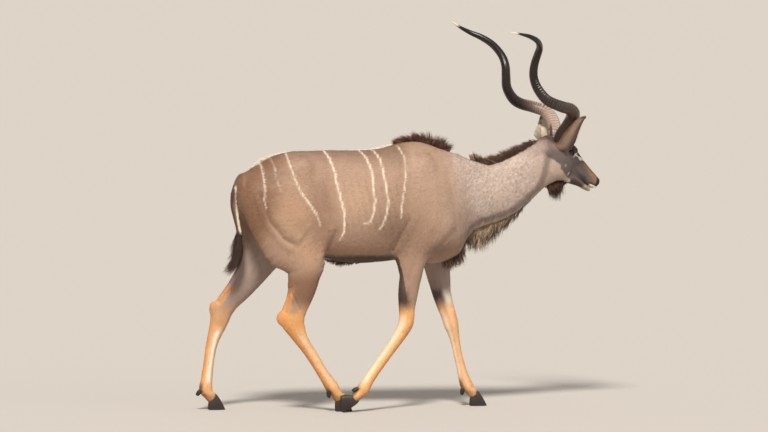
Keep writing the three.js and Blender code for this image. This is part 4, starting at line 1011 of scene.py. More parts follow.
def body_colour(points):
    x, y, z = points.T
    large = noise(points, 260, 1)
    patch = noise(points, [80, 80, 55], 2)
    fine = noise(points, [16, 12, 9], 3)
    colour = mix(np.repeat(FAWN[None], len(points), axis=0), GREY, 0.35 + 0.45 * large)
    colour = colour * (1 + 0.05 * patch + 0.035 * fine)[:, None]
    # Browner on the rump and thigh and darker along the back; painted shade behind the elbow, in the flank
    # hollow and low on the side, and painted light on the mid side between them, the haunch and the
    # shoulder
    colour = mix(colour, RUMP, 0.85 * step(-640, -780, x + 0.3 * (1100 - z)) * step(640, 760, z))
    colour = mix(colour, RUMP, 0.85 * step(800, 700, z) * step(540, 620, z) * (x < -380))
    for *place, light_and_shade_colour, weight in BODY_LIGHT_AND_SHADE:
        colour = mix(colour, srgb(*light_and_shade_colour), weight * blot(x, z, *place))
    colour = mix(colour, srgb(122, 94, 74), 0.75 * step(1270, 1390, z + 0.1 * x) * step(60, -20, x))
    belly = step(852, 824, z + 6 * fine) * step(60, -20, x) * (x > -430) * (np.abs(y) < 150)
    colour = mix(colour, srgb(60, 42, 34), 0.9 * belly)
    flat = columns(x, z)
    # Painted shade along the folds
    for line, width, weight in FOLD_SHADE_LINES:
        dark = bump(line_distance(flat, line), width) * (np.abs(y) > 60)
        colour = mix(colour, srgb(84, 58, 44), weight * dark)
    on_neck = step(235, 400, x - (z - 1141) * -0.2)
    colour = mix(colour, NECK_GREY * (1 + 0.05 * fine + 0.04 * patch)[:, None], on_neck)
    specks = noise(points, [6, 4.5, 4], 4)
    colour = mix(colour, srgb(98, 84, 78), on_neck * 0.42 * step(0.2, 0.7, specks))
    colour = mix(colour, srgb(224, 208, 196), on_neck * 0.45 * step(-0.2, -0.7, specks))
    # Darker at the top of the neck; painted shade in front of the shoulder and under the chest
    colour = mix(colour, srgb(142, 116, 104), 0.6 * step(610, 720, x) * step(1320, 1380, z))
    colour = mix(colour, srgb(188, 156, 134), 0.6 * blot(x, z, 232, 1030, 60, 90))
    colour = mix(colour, srgb(126, 104, 94), 0.35 * blot(x, z, 310, 980, 55, 120))
    colour = mix(colour, srgb(112, 84, 70), 0.5 * blot(x, z, 190, 862, 80, 44))
    # Pale on the groin and between the legs
    colour = mix(colour, LILAC * 1.1, 0.8 * step(1010, 860, z) * (x < -380) * step(84, 40, np.abs(y)))
    return colour


def leg_colour(points, colour):
    chart = chart_of(points)
    for name in LEGS:
        own = np.flatnonzero((chart == CHART_NAMES.index(name)) & (points[:, 2] < 920))
        if len(own) == 0:
            continue
        p = points[own]
        ahead, outward = leg_front(p, name)
        outward = outward * (1 if name.endswith("left") else -1)
        height = p[:, 2] + 16 * noise(p, 34, 6)
        grain = (1 + 0.08 * noise(p, [7, 7, 30], 7) + 0.05 * noise(p, [24, 24, 60], 9))[:, None]
        inner = step(0.15, -0.55, outward)
        c = colour[own]
        if name.startswith("fore"):
            c = mix(c, LILAC * grain, 0.8 * inner * step(860, 760, height))
            c = mix(c, CREAM * 0.95, 0.75 * inner * step(660, 600, height) * step(-0.3, 0.2, ahead))
            c = mix(c, TAN * grain, step(590, 515, height) * (1 - 0.25 * inner))
            c = mix(c, ORANGE, 0.6 * step(560, 500, height) * step(0.0, 0.8, ahead))
            c = mix(c, DARK, 0.9 * bump((height - 598) / 56, 1) * step(0.4, -0.35, ahead))
            edge = 0.0 if name.endswith("right") else -0.25
            pale = step(530, 470, height) * step(edge + 0.1, edge - 0.4, ahead) * step(120, 190, height)
            c = mix(c, srgb(234, 208, 172), 0.9 * pale)
        else:
            c = mix(c, LILAC * grain, 0.85 * inner * step(940, 800, height))
            c = mix(c, TAN * grain, step(590, 505, height) * (1 - 0.2 * inner))
            tendon = step(700, 610, height) * step(-0.35, -0.75, ahead)
            c = mix(c, ORANGE * grain, 0.85 * tendon)
            c = mix(c, GREY, 0.55 * bump(ahead + 0.15, 0.4) * bump((height - 570) / 45, 1))
            c = mix(c, ORANGE * 0.94, 0.6 * bump((height - 490) / 60, 1) * (1 - 0.6 * inner))
            c = mix(c, srgb(172, 136, 110), 0.5 * inner * bump((height - 520) / 70, 1))
            c = mix(c, ORANGE, 0.55 * step(500, 430, height) * step(0.15, -0.6, ahead) * (1 - 0.5 * inner))
            pale = step(470, 400, height) * bump(ahead - 0.2, 0.42) * step(110, 170, height)
            c = mix(c, CREAM, (0.35 + 0.5 * inner) * pale)
        c = mix(c, DARK, 0.8 * bump((height - 112) / 26, 1) * step(-0.3, -0.85, ahead))
        c = mix(c, srgb(120, 84, 58), 0.6 * step(100, 72, p[:, 2]))
        colour[own] = c
    return colour


def head_colour(points, colour):
    q = to_head(points)
    own = np.flatnonzero((q[:, 0] > -20) & (points[:, 0] > 745))
    a, s, u = q[own].T
    side = np.abs(s)
    fine = noise(points[own], 5, 11)
    wide = noise(points[own], 22, 12)
    flat = columns(a, side)
    folded = columns(a, side, u)
    # Face: its own grey-brown with painted shade of the ear and horns over it
    c = np.repeat(FACE_TONE_AND_SHADE[None], len(own), axis=0) * (1 + 0.05 * fine + 0.05 * wide)[:, None]
    # Pale lower cheek and throat latch, with an uneven edge where the painted shade on the face ends
    edge = np.interp(a, [0, 51, 100, 158, 236, 262], [-88, -96, -88, -102, -112, -128]) + 7 * wide
    cheek = step(6, -8, u - edge) * step(268, 236, a + 6 * wide)
    c = mix(c, JOWL * (1 + 0.04 * fine)[:, None], 0.95 * cheek)
    c = mix(c, srgb(178, 148, 132), 0.85 * blot(a, u, 36, -14, 36, 26) * step(30, 40, side))
    # Darker bluish grey on the cheek: painted shade
    c = mix(c, srgb(96, 84, 80), 0.5 * blot(a, u, 205, -62, 60, 26))
    # Dark brown forehead, warm brown bridge of the nose with a darker profile
    c = mix(c, srgb(84, 62, 50), 0.85 * step(14, 40, u) * step(240, 205, a))
    bridge = u - np.interp(a, [239, 291, 344, 372], [0, -17, -36, -40])
    brown = step(-5, 5, bridge + 3 * wide) * step(236, 256, a)
    c = mix(c, BRIDGE * (1 + 0.10 * fine)[:, None], 0.9 * brown)
    profile = step(238, 262, a) * step(378, 350, a) * step(14, 5, side) * step(-12, 2, bridge)
    c = mix(c, srgb(72, 50, 40), 0.75 * profile)
    c = mix(c, srgb(128, 104, 90), 0.5 * blot(a, u, 330, -52, 44, 13))
    # White chevron from the front of each eye to the bridge of the nose, dark above it
    distance, t = segment_distance(flat, [163, 61], [262, 4])
    c = mix(c, srgb(40, 30, 28), 0.85 * step(20, 9, distance) * step(10, 22, u) * step(236, 222, a))
    chevron = step(6.2, 3.6, distance + 0.8 * fine - 2 * step(0.4, 1, t)) * step(-20, -6, u)
    c = mix(c, CREAM * 1.05, chevron)
    # Dark brow and rim of the eye, with a painted highlight as a paler ring below it
    brow = np.hypot((a - 126) / 20, (u - 25) / 11)
    c = mix(c, BLACK * 1.3, 0.8 * step(1.4, 0.7, brow) * step(36, 50, side))
    around = np.hypot((a - EYE[0]) / 27, (u - EYE[2]) / 19)
    c = mix(c, srgb(136, 118, 106), 0.55 * step(1.5, 1.15, around) * step(12, -4, u) * step(36, 50, side))
    along, up, outward, radius = eye_coordinates(q[own])
    rim = almond(along, up)
    c = mix(c, BLACK, 0.97 * step(5.0, 3.0, rim) * (outward > 0) * (radius < EYE_RADIUS + 9))
    tear, _ = segment_distance(folded, [154, 58, -2], [176, 52, -12])
    c = mix(c, BLACK * 1.2, 0.8 * step(5.5, 2.5, tear))
    for spot_a, spot_u, size, weight in CHEEK_SPOTS:
        spot = np.hypot(a - spot_a, (u - spot_u) * 0.8)
        c = mix(c, CREAM, weight * step(size + 3, size - 3, spot + 3 * wide) * step(14, 22, side))
    # Dark red-brown of the lower jaw behind the mouth, beige chin, thin white upper lip, black nose
    off = u - mouth_height(a)
    jaw = np.hypot((a - 286) / 44, (u + 108) / 20)
    c = mix(c, REDDISH, 0.9 * step(1.5, 0.8, jaw))
    # Dark grey on the side of the muzzle above the mouth: painted shade
    c = mix(c, srgb(58, 46, 44), 0.6 * blot(a, off, 296, 6, 26, 14))
    c = mix(c, srgb(54, 44, 43), 0.8 * blot(a, off, 308, 7, 46, 17))
    c = mix(c, srgb(170, 146, 132), 0.9 * step(312, 336, a) * step(-2, -7, off))
    c = mix(c, srgb(206, 186, 170), 0.6 * step(345, 365, a) * step(-2, -6, off))
    c = mix(c, CREAM * 1.2, step(342, 354, a) * step(0.3, 1.6, off) * step(14, 10, off + 1.2 * wide))
    c = mix(c, srgb(64, 46, 40), 0.6 * bump(off - 17, 5) * step(322, 345, a) * step(378, 366, a))
    c = mix(c, BLACK, 0.97 * step(364, 371, a + 1.5 * wide + 0.25 * (u + 30)) * step(9, 13, off))
    c = mix(c, BLACK, 0.97 * step(4.6, 2.0, nostril_distance(folded)))
    c = mix(c, BLACK * 1.5, 0.85 * step(1.5, 0.4, np.abs(off)) * step(300, 312, a))
    weight = step(-14, 46, a - 0.12 * (u + 60) + 8 * wide)
    colour[own] = mix(colour[own], c, weight)
    # Darker patch behind the base of the horns: painted shadow of the horn on the nape
    nape = blot(a, u, 12, 22, 34, 34) * step(76, 50, side)
    colour[own] = mix(colour[own], srgb(92, 80, 76), 0.6 * nape)
    return colour


# Dark line down the throat, partly the dark roots of the throat's mane and partly painted shade under the
# neck: x and z, from the angle of the jaw to the brisket
THROAT_MANE_AND_SHADE_LINE = [[806, 1345], [787, 1261], [766, 1202], [722, 1154], [679, 1112], [597, 1056], [516, 1036],
               [434, 1010], [369, 978], [330, 930], [290, 880]]
# White line down each side of the tail
TAIL_LINE = [[-893, 1210], [-893, 1140], [-888, 1076], [-874, 995], [-852, 900]]
# Faint pale spots on the cheek: along, up, size, weight
CHEEK_SPOTS = [[152, -74, 6, 0.2], [201, -94, 6, 0.6], [236, -120, 8, 0.5]]


def coat_colour(points):
    """Colour of the coat at places on the skin."""
    x, y, z = points.T
    colour = body_colour(points)
    colour = leg_colour(points, colour)
    across = neck_line(x, 2)
    flat = columns(x, z + 8 * noise(points, 26, 13))
    # Dark line of the mane's roots, white line along the back
    top = step(20, 5, np.abs(y - across)) * (z > 1250)
    mane = step(-60, 20, x) * step(790, 740, x) * (1 - step(225, 240, x) * step(400, 385, x))
    colour = mix(colour, DARK * 1.2, 0.7 * top * mane)
    line = step(8, 3, np.abs(y)) * (z > 1250) * step(10, -30, x) * step(-850, -830, x)
    colour = mix(colour, CREAM, 0.9 * line)
    colour = mix(colour, CREAM, stripe_weight(points) * 0.95)
    # Tail: brown, darker behind, a white line down each side, black at the end
    tail = np.flatnonzero((x < -838) & (z < 1215) & (np.abs(y) < 45))
    p = points[tail]
    centre, _, depth, _ = limb_centre(TAIL, p[:, 2])
    ahead = (p[:, 0] - centre) / depth
    c = mix(srgb(138, 106, 84), DARK, 0.8 * step(-0.15, -0.7, ahead))
    seam = line_distance(columns(p[:, 0], p[:, 2]), TAIL_LINE)
    c = mix(c, CREAM, 0.97 * step(7.5, 3.5, seam) * (np.abs(p[:, 1]) > 4))
    colour[tail] = mix(c, DARK * 0.8, step(930, 880, p[:, 2]))
    colour = head_colour(points, colour)
    # Dark mane roots with painted shade under the neck, as a band down the throat
    mane_and_shade_band = step(30, 6, line_distance(flat, THROAT_MANE_AND_SHADE_LINE)) * step(262, 330, x)
    colour = mix(colour, srgb(92, 76, 70), 0.62 * mane_and_shade_band * step(100, 66, np.abs(y - across)))
    return np.clip(colour, 0, 1)


# Making objects

def make_mesh(name, vertices, triangles, colours=None, uv=None, shading=None):
    """An object in metres from points in the animal's frame in millimetres."""
    mesh = bpy.data.meshes.new(name)
    mesh.vertices.add(len(vertices))
    mesh.vertices.foreach_set("co", ((vertices + SHIFT) / 1000).astype(np.float32).ravel())
    mesh.loops.add(3 * len(triangles))
    mesh.loops.foreach_set("vertex_index", np.ascontiguousarray(triangles, np.int32).ravel())
    mesh.polygons.add(len(triangles))
    mesh.polygons.foreach_set("loop_start", np.arange(0, 3 * len(triangles), 3, dtype=np.int32))
    mesh.polygons.foreach_set("use_smooth", np.full(len(triangles), True))
    mesh.update(calc_edges=True)
    if colours is not None:
        attribute = mesh.attributes.new("coat", "FLOAT_COLOR", "POINT")
        rgba = np.concatenate([colours, np.ones((len(colours), 1))], axis=1).astype(np.float32)
        attribute.data.foreach_set("color", rgba.ravel())
    if uv is not None:
        layer = mesh.uv_layers.new(name="OFBake")
        layer.data.foreach_set("uv", np.ascontiguousarray(uv, np.float32).ravel())
    if shading is not None:
        mesh.normals_split_custom_set_from_vertices(shading)
    piece = bpy.data.objects.new(name, mesh)
    bpy.context.scene.collection.objects.link(piece)
    return piece


def own(piece, material, slot, *nodes):
    """Gives a piece its material and its body, and hides the solids that it stands for."""
    piece.data.materials.append(material)
    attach(piece, "root")
    if nodes:
        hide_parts(*nodes)
    return piece


# Short tufts of seven vertices: thickness as a share of the width, triangles, and each vertex's place
# from side to side and from root to tip
BLADE_THICKNESS = 0.2
BLADE_FACES = np.array([0, 3, 2, 2, 3, 5, 2, 5, 1, 1, 5, 4, 1, 4, 0, 0, 4, 3, 3, 6, 5, 5, 6, 4, 4, 6, 3])
BLADE_CORNERS = np.array([[-0.7, -1], [0.7, -1], [0, -1], [-1, 0], [1, 0], [0, 0], [0, 1]])
# How light each vertex of a tuft is, from its root to its tip
BLADE_SHADE = np.array([0.95, 0.95, 0.95, 0.99, 0.99, 1.0, 1.03])
# Half the size of a tuft's patch on the unwrap, and how close patches come to its edge
PATCH = 0.0015
PATCH_EDGE = 0.001


def blades(roots, normals, lies, lengths, widths, lifts, sunk):
    """Flat tapered tufts lying along the skin: seven vertices and nine triangles each."""
    across = unit(np.cross(normals, lies))
    rise = np.sin(lifts)[:, None]
    run = np.cos(lifts)[:, None]
    middle = roots + lies * (lengths * 0.45)[:, None] * run + normals * (lengths * 0.5)[:, None] * rise
    tip = roots + lies * lengths[:, None] * run + normals * (lengths * 0.72)[:, None] * rise
    start = roots - normals * sunk - lies * (lengths * 0.06)[:, None]
    half = (widths / 2)[:, None]
    high = (widths * BLADE_THICKNESS)[:, None]
    points = np.stack([
        start - across * half * 0.75, start + across * half * 0.75, start + normals * high * 0.8,
        middle - across * half, middle + across * half, middle + normals * high,
        tip], axis=1)
    triangles = (np.arange(len(roots))[:, None] * len(BLADE_SHADE) + BLADE_FACES[None]).reshape(-1, 3)
    return points.reshape(-1, 3), triangles


def root_place(roots, chart):
    """Places on the unwrap of roots on the skin."""
    along, turn = chart_place(roots, chart)
    return on_chart(chart, along, turn - np.floor(turn))


def patch_uv(root_uv, corners, faces):
    """A small patch on the unwrap for each tuft, at its root's place."""
    uv = root_uv[:, None] + (corners * PATCH)[faces][None]
    return np.clip(uv, PATCH_EDGE, 1 - PATCH_EDGE).reshape(-1, 2)


def tuft_piece(name, points, faces, colour, uv, material, turned=None):
    """An object of short tufts, a colour and a place on the unwrap for each."""
    shade = (colour[:, None] * BLADE_SHADE[None, :, None]).reshape(-1, 3)
    shading = None if turned is None else np.repeat(turned, len(BLADE_SHADE), axis=0)
    patch = patch_uv(uv, BLADE_CORNERS, BLADE_FACES)
    return own(make_mesh(name, points, faces, np.clip(shade, 0, 1), patch, shading), material, "coat")


# Short coat

def leg_axis(points, name):
    """Down along a leg beside each point."""
    stations = LEGS[name]
    z = np.clip(points[:, 2], stations[-1][1], stations[0][1])
    ahead = limb_centre(stations, z - 12)[0] - limb_centre(stations, z + 12)[0]
    return unit(columns(ahead, 0 * z, np.full(len(z), -24.0)))


def lie_of_coat(points):
    """Which way the hair lies at places on the skin."""
    x, y, z = points.T
    q = to_head(points)
    lie = columns(np.full(len(points), -1.0), 0 * x, -0.28 - 0.25 * step(1200, 900, z))
    neck = step(300, 420, x)[:, None]
    lie = lie * (1 - neck) + np.array([-0.72, 0.0, -0.78]) * neck
    chart = chart_of(points)
    for name in LEGS:
        mine = (chart == CHART_NAMES.index(name)) | (
            (z < 960) & ((x < -420) if name.startswith("hind") else (x > -60) & (x < 300))
            & ((y > 40) if name.endswith("left") else (y < -40)))
        share = (step(1000, 760, z) * mine)[:, None]
        lie = lie * (1 - share) + leg_axis(points, name) * share
    tail = chart == CHART_NAMES.index("tail")
    lie[tail] = [0.05, 0.0, -1.0]
    head = step(20, 80, q[:, 0]) * (x > 780)
    outwards = 0.25 * np.sign(q[:, 1]) * step(4, 20, np.abs(q[:, 1]))
    back = columns(np.full(len(q), -1.0), outwards, np.full(len(q), -0.22))
    lie = lie * (1 - head)[:, None] + (unit(back) @ HEAD_AXES) * head[:, None]
    return unit(lie)


def bare(points):
    """How bare the skin is, from 0 to 1: nose pad, lips' edge, nostrils and lids."""
    q = to_head(points)
    a, s, u = q.T
    near = (a > 40) & (points[:, 0] > 780)
    off = u - mouth_height(a)
    share = step(375, 381, a) * step(12, 17, off)
    share = np.maximum(share, step(3.0, 1.5, np.abs(off)) * step(300, 310, a))
    along, up, outward, radius = eye_coordinates(q)
    share = np.maximum(share, (almond(along, up) < 3.4) & (outward > 0) & (radius < EYE_RADIUS + 12))
    share = np.maximum(share, nostril_distance(columns(a, np.abs(s), u)) < 2.5)
    return np.where(near, share, 0)


def tuft_size(points):
    """Length and width of the short tufts, and so their spacing, by place."""
    x, _, z = points.T
    q = to_head(points)
    low = step(900, 560, z)
    length = 13.5 - 4.0 * low
    width = 2.3 - 0.4 * low
    on_neck = step(330, 460, x) * (z > 900)
    length = length - 1.5 * on_neck
    head = step(30, 110, q[:, 0]) * (x > 780)
    face = step(120, 300, q[:, 0]) * head
    length = length + (7.5 - length) * head - 3.0 * face
    width = width + (1.6 - width) * head - 0.5 * face
    around = (eye_coordinates(q)[3] < 36) * (x > 780)
    length = np.where(around, 4.0, length)
    width = np.where(around, 1.2, width)
    foot = step(190, 90, z)
    length = length - 1.5 * foot
    return length, width


def scatter(vertices, triangles, normals, amount, random):
    """Random places on the skin, closer together where the tufts are smaller."""
    p = vertices[triangles]
    area = np.linalg.norm(np.cross(p[:, 1] - p[:, 0], p[:, 2] - p[:, 0]), axis=1) / 2
    length, width = tuft_size(p.mean(axis=1))
    weight = area / (length * width)
    total = np.cumsum(weight)
    picks = np.searchsorted(total, (np.arange(amount) + random.random(amount)) / amount * total[-1])
    picks = np.clip(picks, 0, len(triangles) - 1)
    u, v = random.random(amount), random.random(amount)
    flip = u + v > 1
    u[flip], v[flip] = 1 - u[flip], 1 - v[flip]
    share = columns(1 - u - v, u, v)[..., None]
    roots = (p[picks] * share).sum(axis=1)
    facing = unit((normals[triangles[picks]] * share).sum(axis=1))
    return roots, facing


TUFTS_IN_PIECE = 21000
TUFT_SUNK = 0.45


def short_coat(vertices, triangles, normals, amount, material):
    """Short tufts all over the skin, in pieces, shaded as the skin under them and each turned a little."""
    random = np.random.default_rng(SEED)
    roots, facing = scatter(vertices, triangles, normals, amount, random)
    keep = bare(roots) < 0.5
    roots, facing = roots[keep], facing[keep]
    lie = lie_of_coat(roots) + 0.05 * random.normal(size=roots.shape)
    lie = lie + 0.07 * columns(*[noise(roots, 90, seed) for seed in (31, 32, 33)])
    lie = off_normal(lie, facing)
    length, width = tuft_size(roots)
    vary = random.random(len(roots))
    length = length * (0.75 + 0.5 * vary)
    width = width * (0.8 + 0.4 * random.random(len(roots)))
    lift = np.radians(3.5 + 3.0 * random.random(len(roots)))
    chart = chart_of(roots)
    uv = root_place(roots, chart)
    striped = stripe_weight(roots) > 0.01
    length = np.where(striped, length * 0.5, length)
    width = np.where(striped, width * 0.8, width)
    # More uneven on the lower legs and the neck
    uneven = 0.05 + 0.035 * step(620, 480, roots[:, 2]) + 0.02 * step(330, 460, roots[:, 0])
    colour = coat_colour(roots) * (1 + uneven * random.normal(size=len(roots)))[:, None]
    order = np.argsort(chart, kind="stable")
    for part, start in enumerate(range(0, len(roots), TUFTS_IN_PIECE)):
        chosen = order[start:start + TUFTS_IN_PIECE]
        points, faces = blades(roots[chosen], facing[chosen], lie[chosen], length[chosen], width[chosen],
                               lift[chosen], TUFT_SUNK)
        tilt = (0.10 * random.normal(size=len(chosen)) - 0.05)[:, None]
        turned = unit(facing[chosen] + lie[chosen] * tilt + 0.09 * random.normal(size=(len(chosen), 3)))
        tuft_piece(f"coat_{part + 1}", points, faces, colour[chosen], uv[chosen], material, turned)


# Long hair

# Settings of each fringe, and rows for places along its root line: share, x, y, z that the roots are cast
# from, lean, length, width of a clump
CREST = {"cast": 1, "ruffle": 15, "stray": 8, "ends": 0.05, "spread": 26, "splay": 13, "bend": -10,
    "clumps": 76, "hairs": 24, "rows": [
    [0, -24, 0, 1330, -62, 44, 17], [0.3, 60, 0, 1330, -54, 62, 18], [0.55, 128, 0, 1320, -36, 82, 18],
    [0.7, 166, 0, 1300, 0, 80, 15], [0.84, 205, 0, 1280, 38, 76, 15], [1, 256, 0, 1250, 60, 64, 14]]}
NAPE = {"cast": 1, "ramp": [0.8, 0.95, 1.1, 1.35, 1.6], "ruffle": 4, "stray": 5, "close": 0.3,
    "ends": 0.04, "spread": 24, "splay": 9, "bend": -16, "clumps": 110, "hairs": 20, "rows": [
    [0, 398, 3, 1160, -10, 54, 19], [0.2, 452, 8, 1170, -30, 62, 19],
    [0.45, 546, 18, 1200, -48, 68, 20], [0.75, 662, 30, 1250, -58, 54, 20],
    [1, 748, 43, 1300, -64, 36, 18]]}
THROAT = {"cast": -1, "ruffle": 9, "stray": 7, "close": 0.6, "ends": 0.1, "spread": 38, "splay": 10,
    "bend": -8, "clumps": 120, "hairs": 22, "rows": [
    [0, 360, 2, 1120, 2, 92, 20], [0.16, 416, 6, 1120, -4, 142, 22], [0.4, 512, 12, 1140, -14, 132, 20],
    [0.66, 608, 22, 1190, -24, 100, 18], [0.86, 680, 32, 1240, -34, 70, 16],
    [1, 748, 42, 1280, -42, 44, 14]]}
BRISKET = {"cast": -1, "spread": 56, "splay": 9, "bend": -6, "clumps": 40, "hairs": 18, "rows": [
    [0, 232, 0, 900, 4, 44, 17], [0.6, 300, 0, 930, 6, 80, 18], [1, 344, 0, 980, 8, 94, 18]]}
BELLY = {"cast": -1, "spread": 18, "splay": 7, "bend": -8, "clumps": 46, "hairs": 9, "rows": [
    [0, -410, 0, 900, -30, 18, 13], [0.4, -340, 0, 900, -26, 34, 13], [0.7, -300, 0, 900, -22, 32, 13],
    [1, -210, 0, 900, -22, 12, 13]]}
BEARD = {"cast": -1, "close": 0.75, "ramp": [0.9, 1.0, 0.8, 0.4, 0.25], "spread": 36, "splay": 8,
    "bend": 4, "clumps": 42, "hairs": 22, "rows": [
    [0, 806, 53, 1300, 26, 62, 14], [0.3, 836, 62, 1295, 14, 100, 15],
    [0.52, 858, 68, 1290, 2, 128, 15], [0.72, 880, 73, 1280, -14, 104, 14],
    [1, 916, 81, 1270, -30, 56, 13]]}
TUFT = {"splay": 12, "bend": -16, "clumps": 60, "hairs": 20, "rows": [
    [0, -872, 0, 962, -6, 118, 18], [0.35, -864, 0, 912, -12, 148, 20],
    [0.7, -860, 0, 868, -20, 158, 20], [1, -862, 0, 846, -26, 148, 18]]}
# White hair along the spine
DORSAL = {"cast": 1, "spread": 7, "splay": 5, "bend": -8, "clumps": 230, "hairs": 7, "rows": [
    [0, -856, 0, 1150, -66, 15, 8], [0.14, -735, 0, 1180, -62, 27, 9], [0.3, -600, 0, 1200, -72, 14, 6],
    [0.7, -250, 0, 1200, -72, 13, 6], [0.88, -95, 0, 1230, -62, 27, 8], [1, -22, 0, 1260, -60, 24, 7]]}
# Sections of a hair: place along it and share of its width; three corners in each but the last
HAIR_SECTIONS = [(0.0, 0.7), (0.22, 1.0), (0.48, 0.9), (0.75, 0.55), (1.0, 0.0)]
HAIR_RING = np.repeat(range(5), [3, 3, 3, 3, 1])
HAIR_FACES = np.array([[a, b, b + 3, a, b + 3, a + 3] for ring in (0, 3, 6)
                       for a, b in ((ring, ring + 1), (ring + 1, ring + 2), (ring + 2, ring))]).ravel()
HAIR_FACES = np.concatenate([HAIR_FACES, [9, 10, 12, 10, 11, 12, 11, 9, 12]])
HAIR_CORNERS = [[x, share * 2 - 1] for share, _ in HAIR_SECTIONS[:-1] for x in (-1, 1, 0)]
HAIR_CORNERS = np.array(HAIR_CORNERS + [[0, 1]])


def lean_direction(cast, lean, tip):
    """A direction in the upright plane, turned forwards from up or down, then tipped to one side."""
    return unit(columns(np.sin(lean), np.sin(tip) + 0 * lean, cast * np.cos(lean) + 0 * tip))


def cast_to_skin(inner, direction, reach):
    """How far each ray goes from inside to the body's surface."""
    low = np.zeros(len(inner))
    high = np.full(len(inner), reach, float)
    steps = np.linspace(0, reach, 26)[1:]
    found = np.zeros(len(inner), bool)
    before = np.zeros(len(inner))
    for value in steps:
        outside = skin_field(inner + direction * value) > 0
        new = outside & ~found
        low[new], high[new] = before[new], value
        found |= outside
        before[:] = value
    for _ in range(8):
        middle = (low + high) / 2
        outside = skin_field(inner + direction * middle[:, None]) > 0
        high = np.where(outside, middle, high)
        low = np.where(outside, low, middle)
    return (low + high) / 2


def hair_mesh(roots, leaving, ending, face, lengths, widths, wave=0.0):
    """Tapered three-sided locks that bend from one direction to another: 13 vertices, 21 triangles each."""
    rings = []
    for t, size in HAIR_SECTIONS:
        centre = roots + leaving * (lengths * (t - t * t / 2))[:, None]
        centre = centre + ending * (lengths * t * t / 2)[:, None]
        centre = centre + wave * (math.sin(t * 7.5) * t)
        if size == 0:
            rings.append(centre[:, None])
            continue
        direction = unit(leaving * (1 - t) + ending * t)
        thin = off_normal(face, direction)
        broad = np.cross(direction, thin)
        half = (widths * size / 2)[:, None]
        corners = [centre - broad * half, centre + broad * half, centre + thin * half * 0.7]
        rings.append(np.stack(corners, axis=1))
    points = np.concatenate(rings, axis=1)
    triangles = (np.arange(len(roots))[:, None] * len(HAIR_RING) + HAIR_FACES[None]).reshape(-1, 3)
    return points.reshape(-1, 3), triangles


def long_hair(name, form, colour_of, material, random):
    """Clumps of hair along a root line, cast onto the skin."""
    clumps, hairs = form["clumps"], form["hairs"]
    at = np.clip((np.arange(clumps) + random.random(clumps)) / clumps, 0, 1)
    values = [column(form["rows"], index, at) for index in range(1, 7)]
    across = random.random(clumps) * 2 - 1
    lean = values[3] + form.get("ruffle", 8) * random.normal(size=clumps)
    tip = across * form["splay"] + 5 * random.normal(size=clumps)
    count = clumps * hairs
    clump = np.repeat(np.arange(clumps), hairs)
    spot_x = values[0][clump] + random.normal(size=count) * values[5][clump] * 0.42
    spot_y = values[1][clump] + across[clump] * form["spread"] * 0.5
    spot_y = spot_y + random.normal(size=count) * values[5][clump] * 0.2
    inner = columns(spot_x, spot_y, values[2][clump])
    down = np.array([0, 0, float(form["cast"])])
    roots = inner + down * (cast_to_skin(inner, down, 420) - 3)[:, None]
    lean_hair = np.radians(lean[clump] + form.get("stray", 6) * random.normal(size=count))
    tip_hair = np.radians(tip[clump] + 4 * random.normal(size=count))
    leaving = lean_direction(form["cast"], lean_hair, tip_hair)
    bend = np.radians(form["bend"] * (1 + 0.5 * random.normal(size=clumps)))[clump]
    ending = lean_direction(form["cast"], lean_hair + bend, tip_hair * 0.4)
    length = (values[4] * random.uniform(0.62, 1.14, size=clumps))[clump]
    length = length * (1 - 0.45 * random.random(count) ** 2.2)
    ends = form.get("ends", 0.08)
    length = length * (0.3 + 0.7 * step(0, ends, at) * step(1, 1 - ends, at))[clump]
    # Hairs of a clump close up towards its tip
    middle = columns(*[np.bincount(clump, weights=roots[:, k]) / hairs for k in range(3)])[clump]
    ending = unit(ending * length[:, None] + (middle - roots) * form.get("close", 0.8))
    face = unit(columns(0.5 * random.normal(size=count), np.sign(across[clump]) + 0.3,
                        0.3 * random.normal(size=count)))
    width = random.uniform(1.2, 2.6, size=count)
    wave = random.normal(size=(clumps, 3))[clump] * 1.2
    points, triangles = hair_mesh(roots, leaving, ending, face, length, width, wave)
    base = colour_of(roots, at[clump], clump, random)
    ramp = np.array(form.get("ramp", [0.75, 0.92, 1.0, 1.06, 1.12]))[HAIR_RING]
    shade = base[:, None, :] * ramp[None, :, None]
    if form is THROAT:
        # Pale at the roots, more so towards the chest, and faded at the tips
        pale = np.array([0.85, 0.75, 0.25, 0.1, 0.5])[HAIR_RING]
        share = (0.9 * step(0.95, 0.1, at))[clump][:, None] * pale[None]
        shade = mix(shade, srgb(206, 178, 148), share)
    shade = shade.reshape(-1, 3)
    uv = patch_uv(root_place(roots, chart_of(roots)), HAIR_CORNERS, HAIR_FACES)
    return own(make_mesh(name, points, triangles, np.clip(shade, 0, 1), uv), material, "coat")


def tone(base, random, count, spread=0.16):
    """A colour for each hair, some lighter and some darker."""
    return base * (1 + spread * random.normal(size=count))[:, None]


def share_of(clump, seed):
    """A repeatable random number from 0 to 1 for each clump."""
    return lattice(clump, clump * 0, clump * 0, seed)


def crest_colour(roots, at, clump, random):
    count = len(roots)
    colour = tone(srgb(86, 50, 34), random, count, 0.22)
    colour = mix(colour, srgb(48, 33, 27), 0.7 * (random.random(count) < 0.35))
    fair = random.random(count) < 0.1 + 0.2 * (share_of(clump, 3) < 0.3)
    return mix(colour, srgb(168, 128, 96), 0.6 * fair)


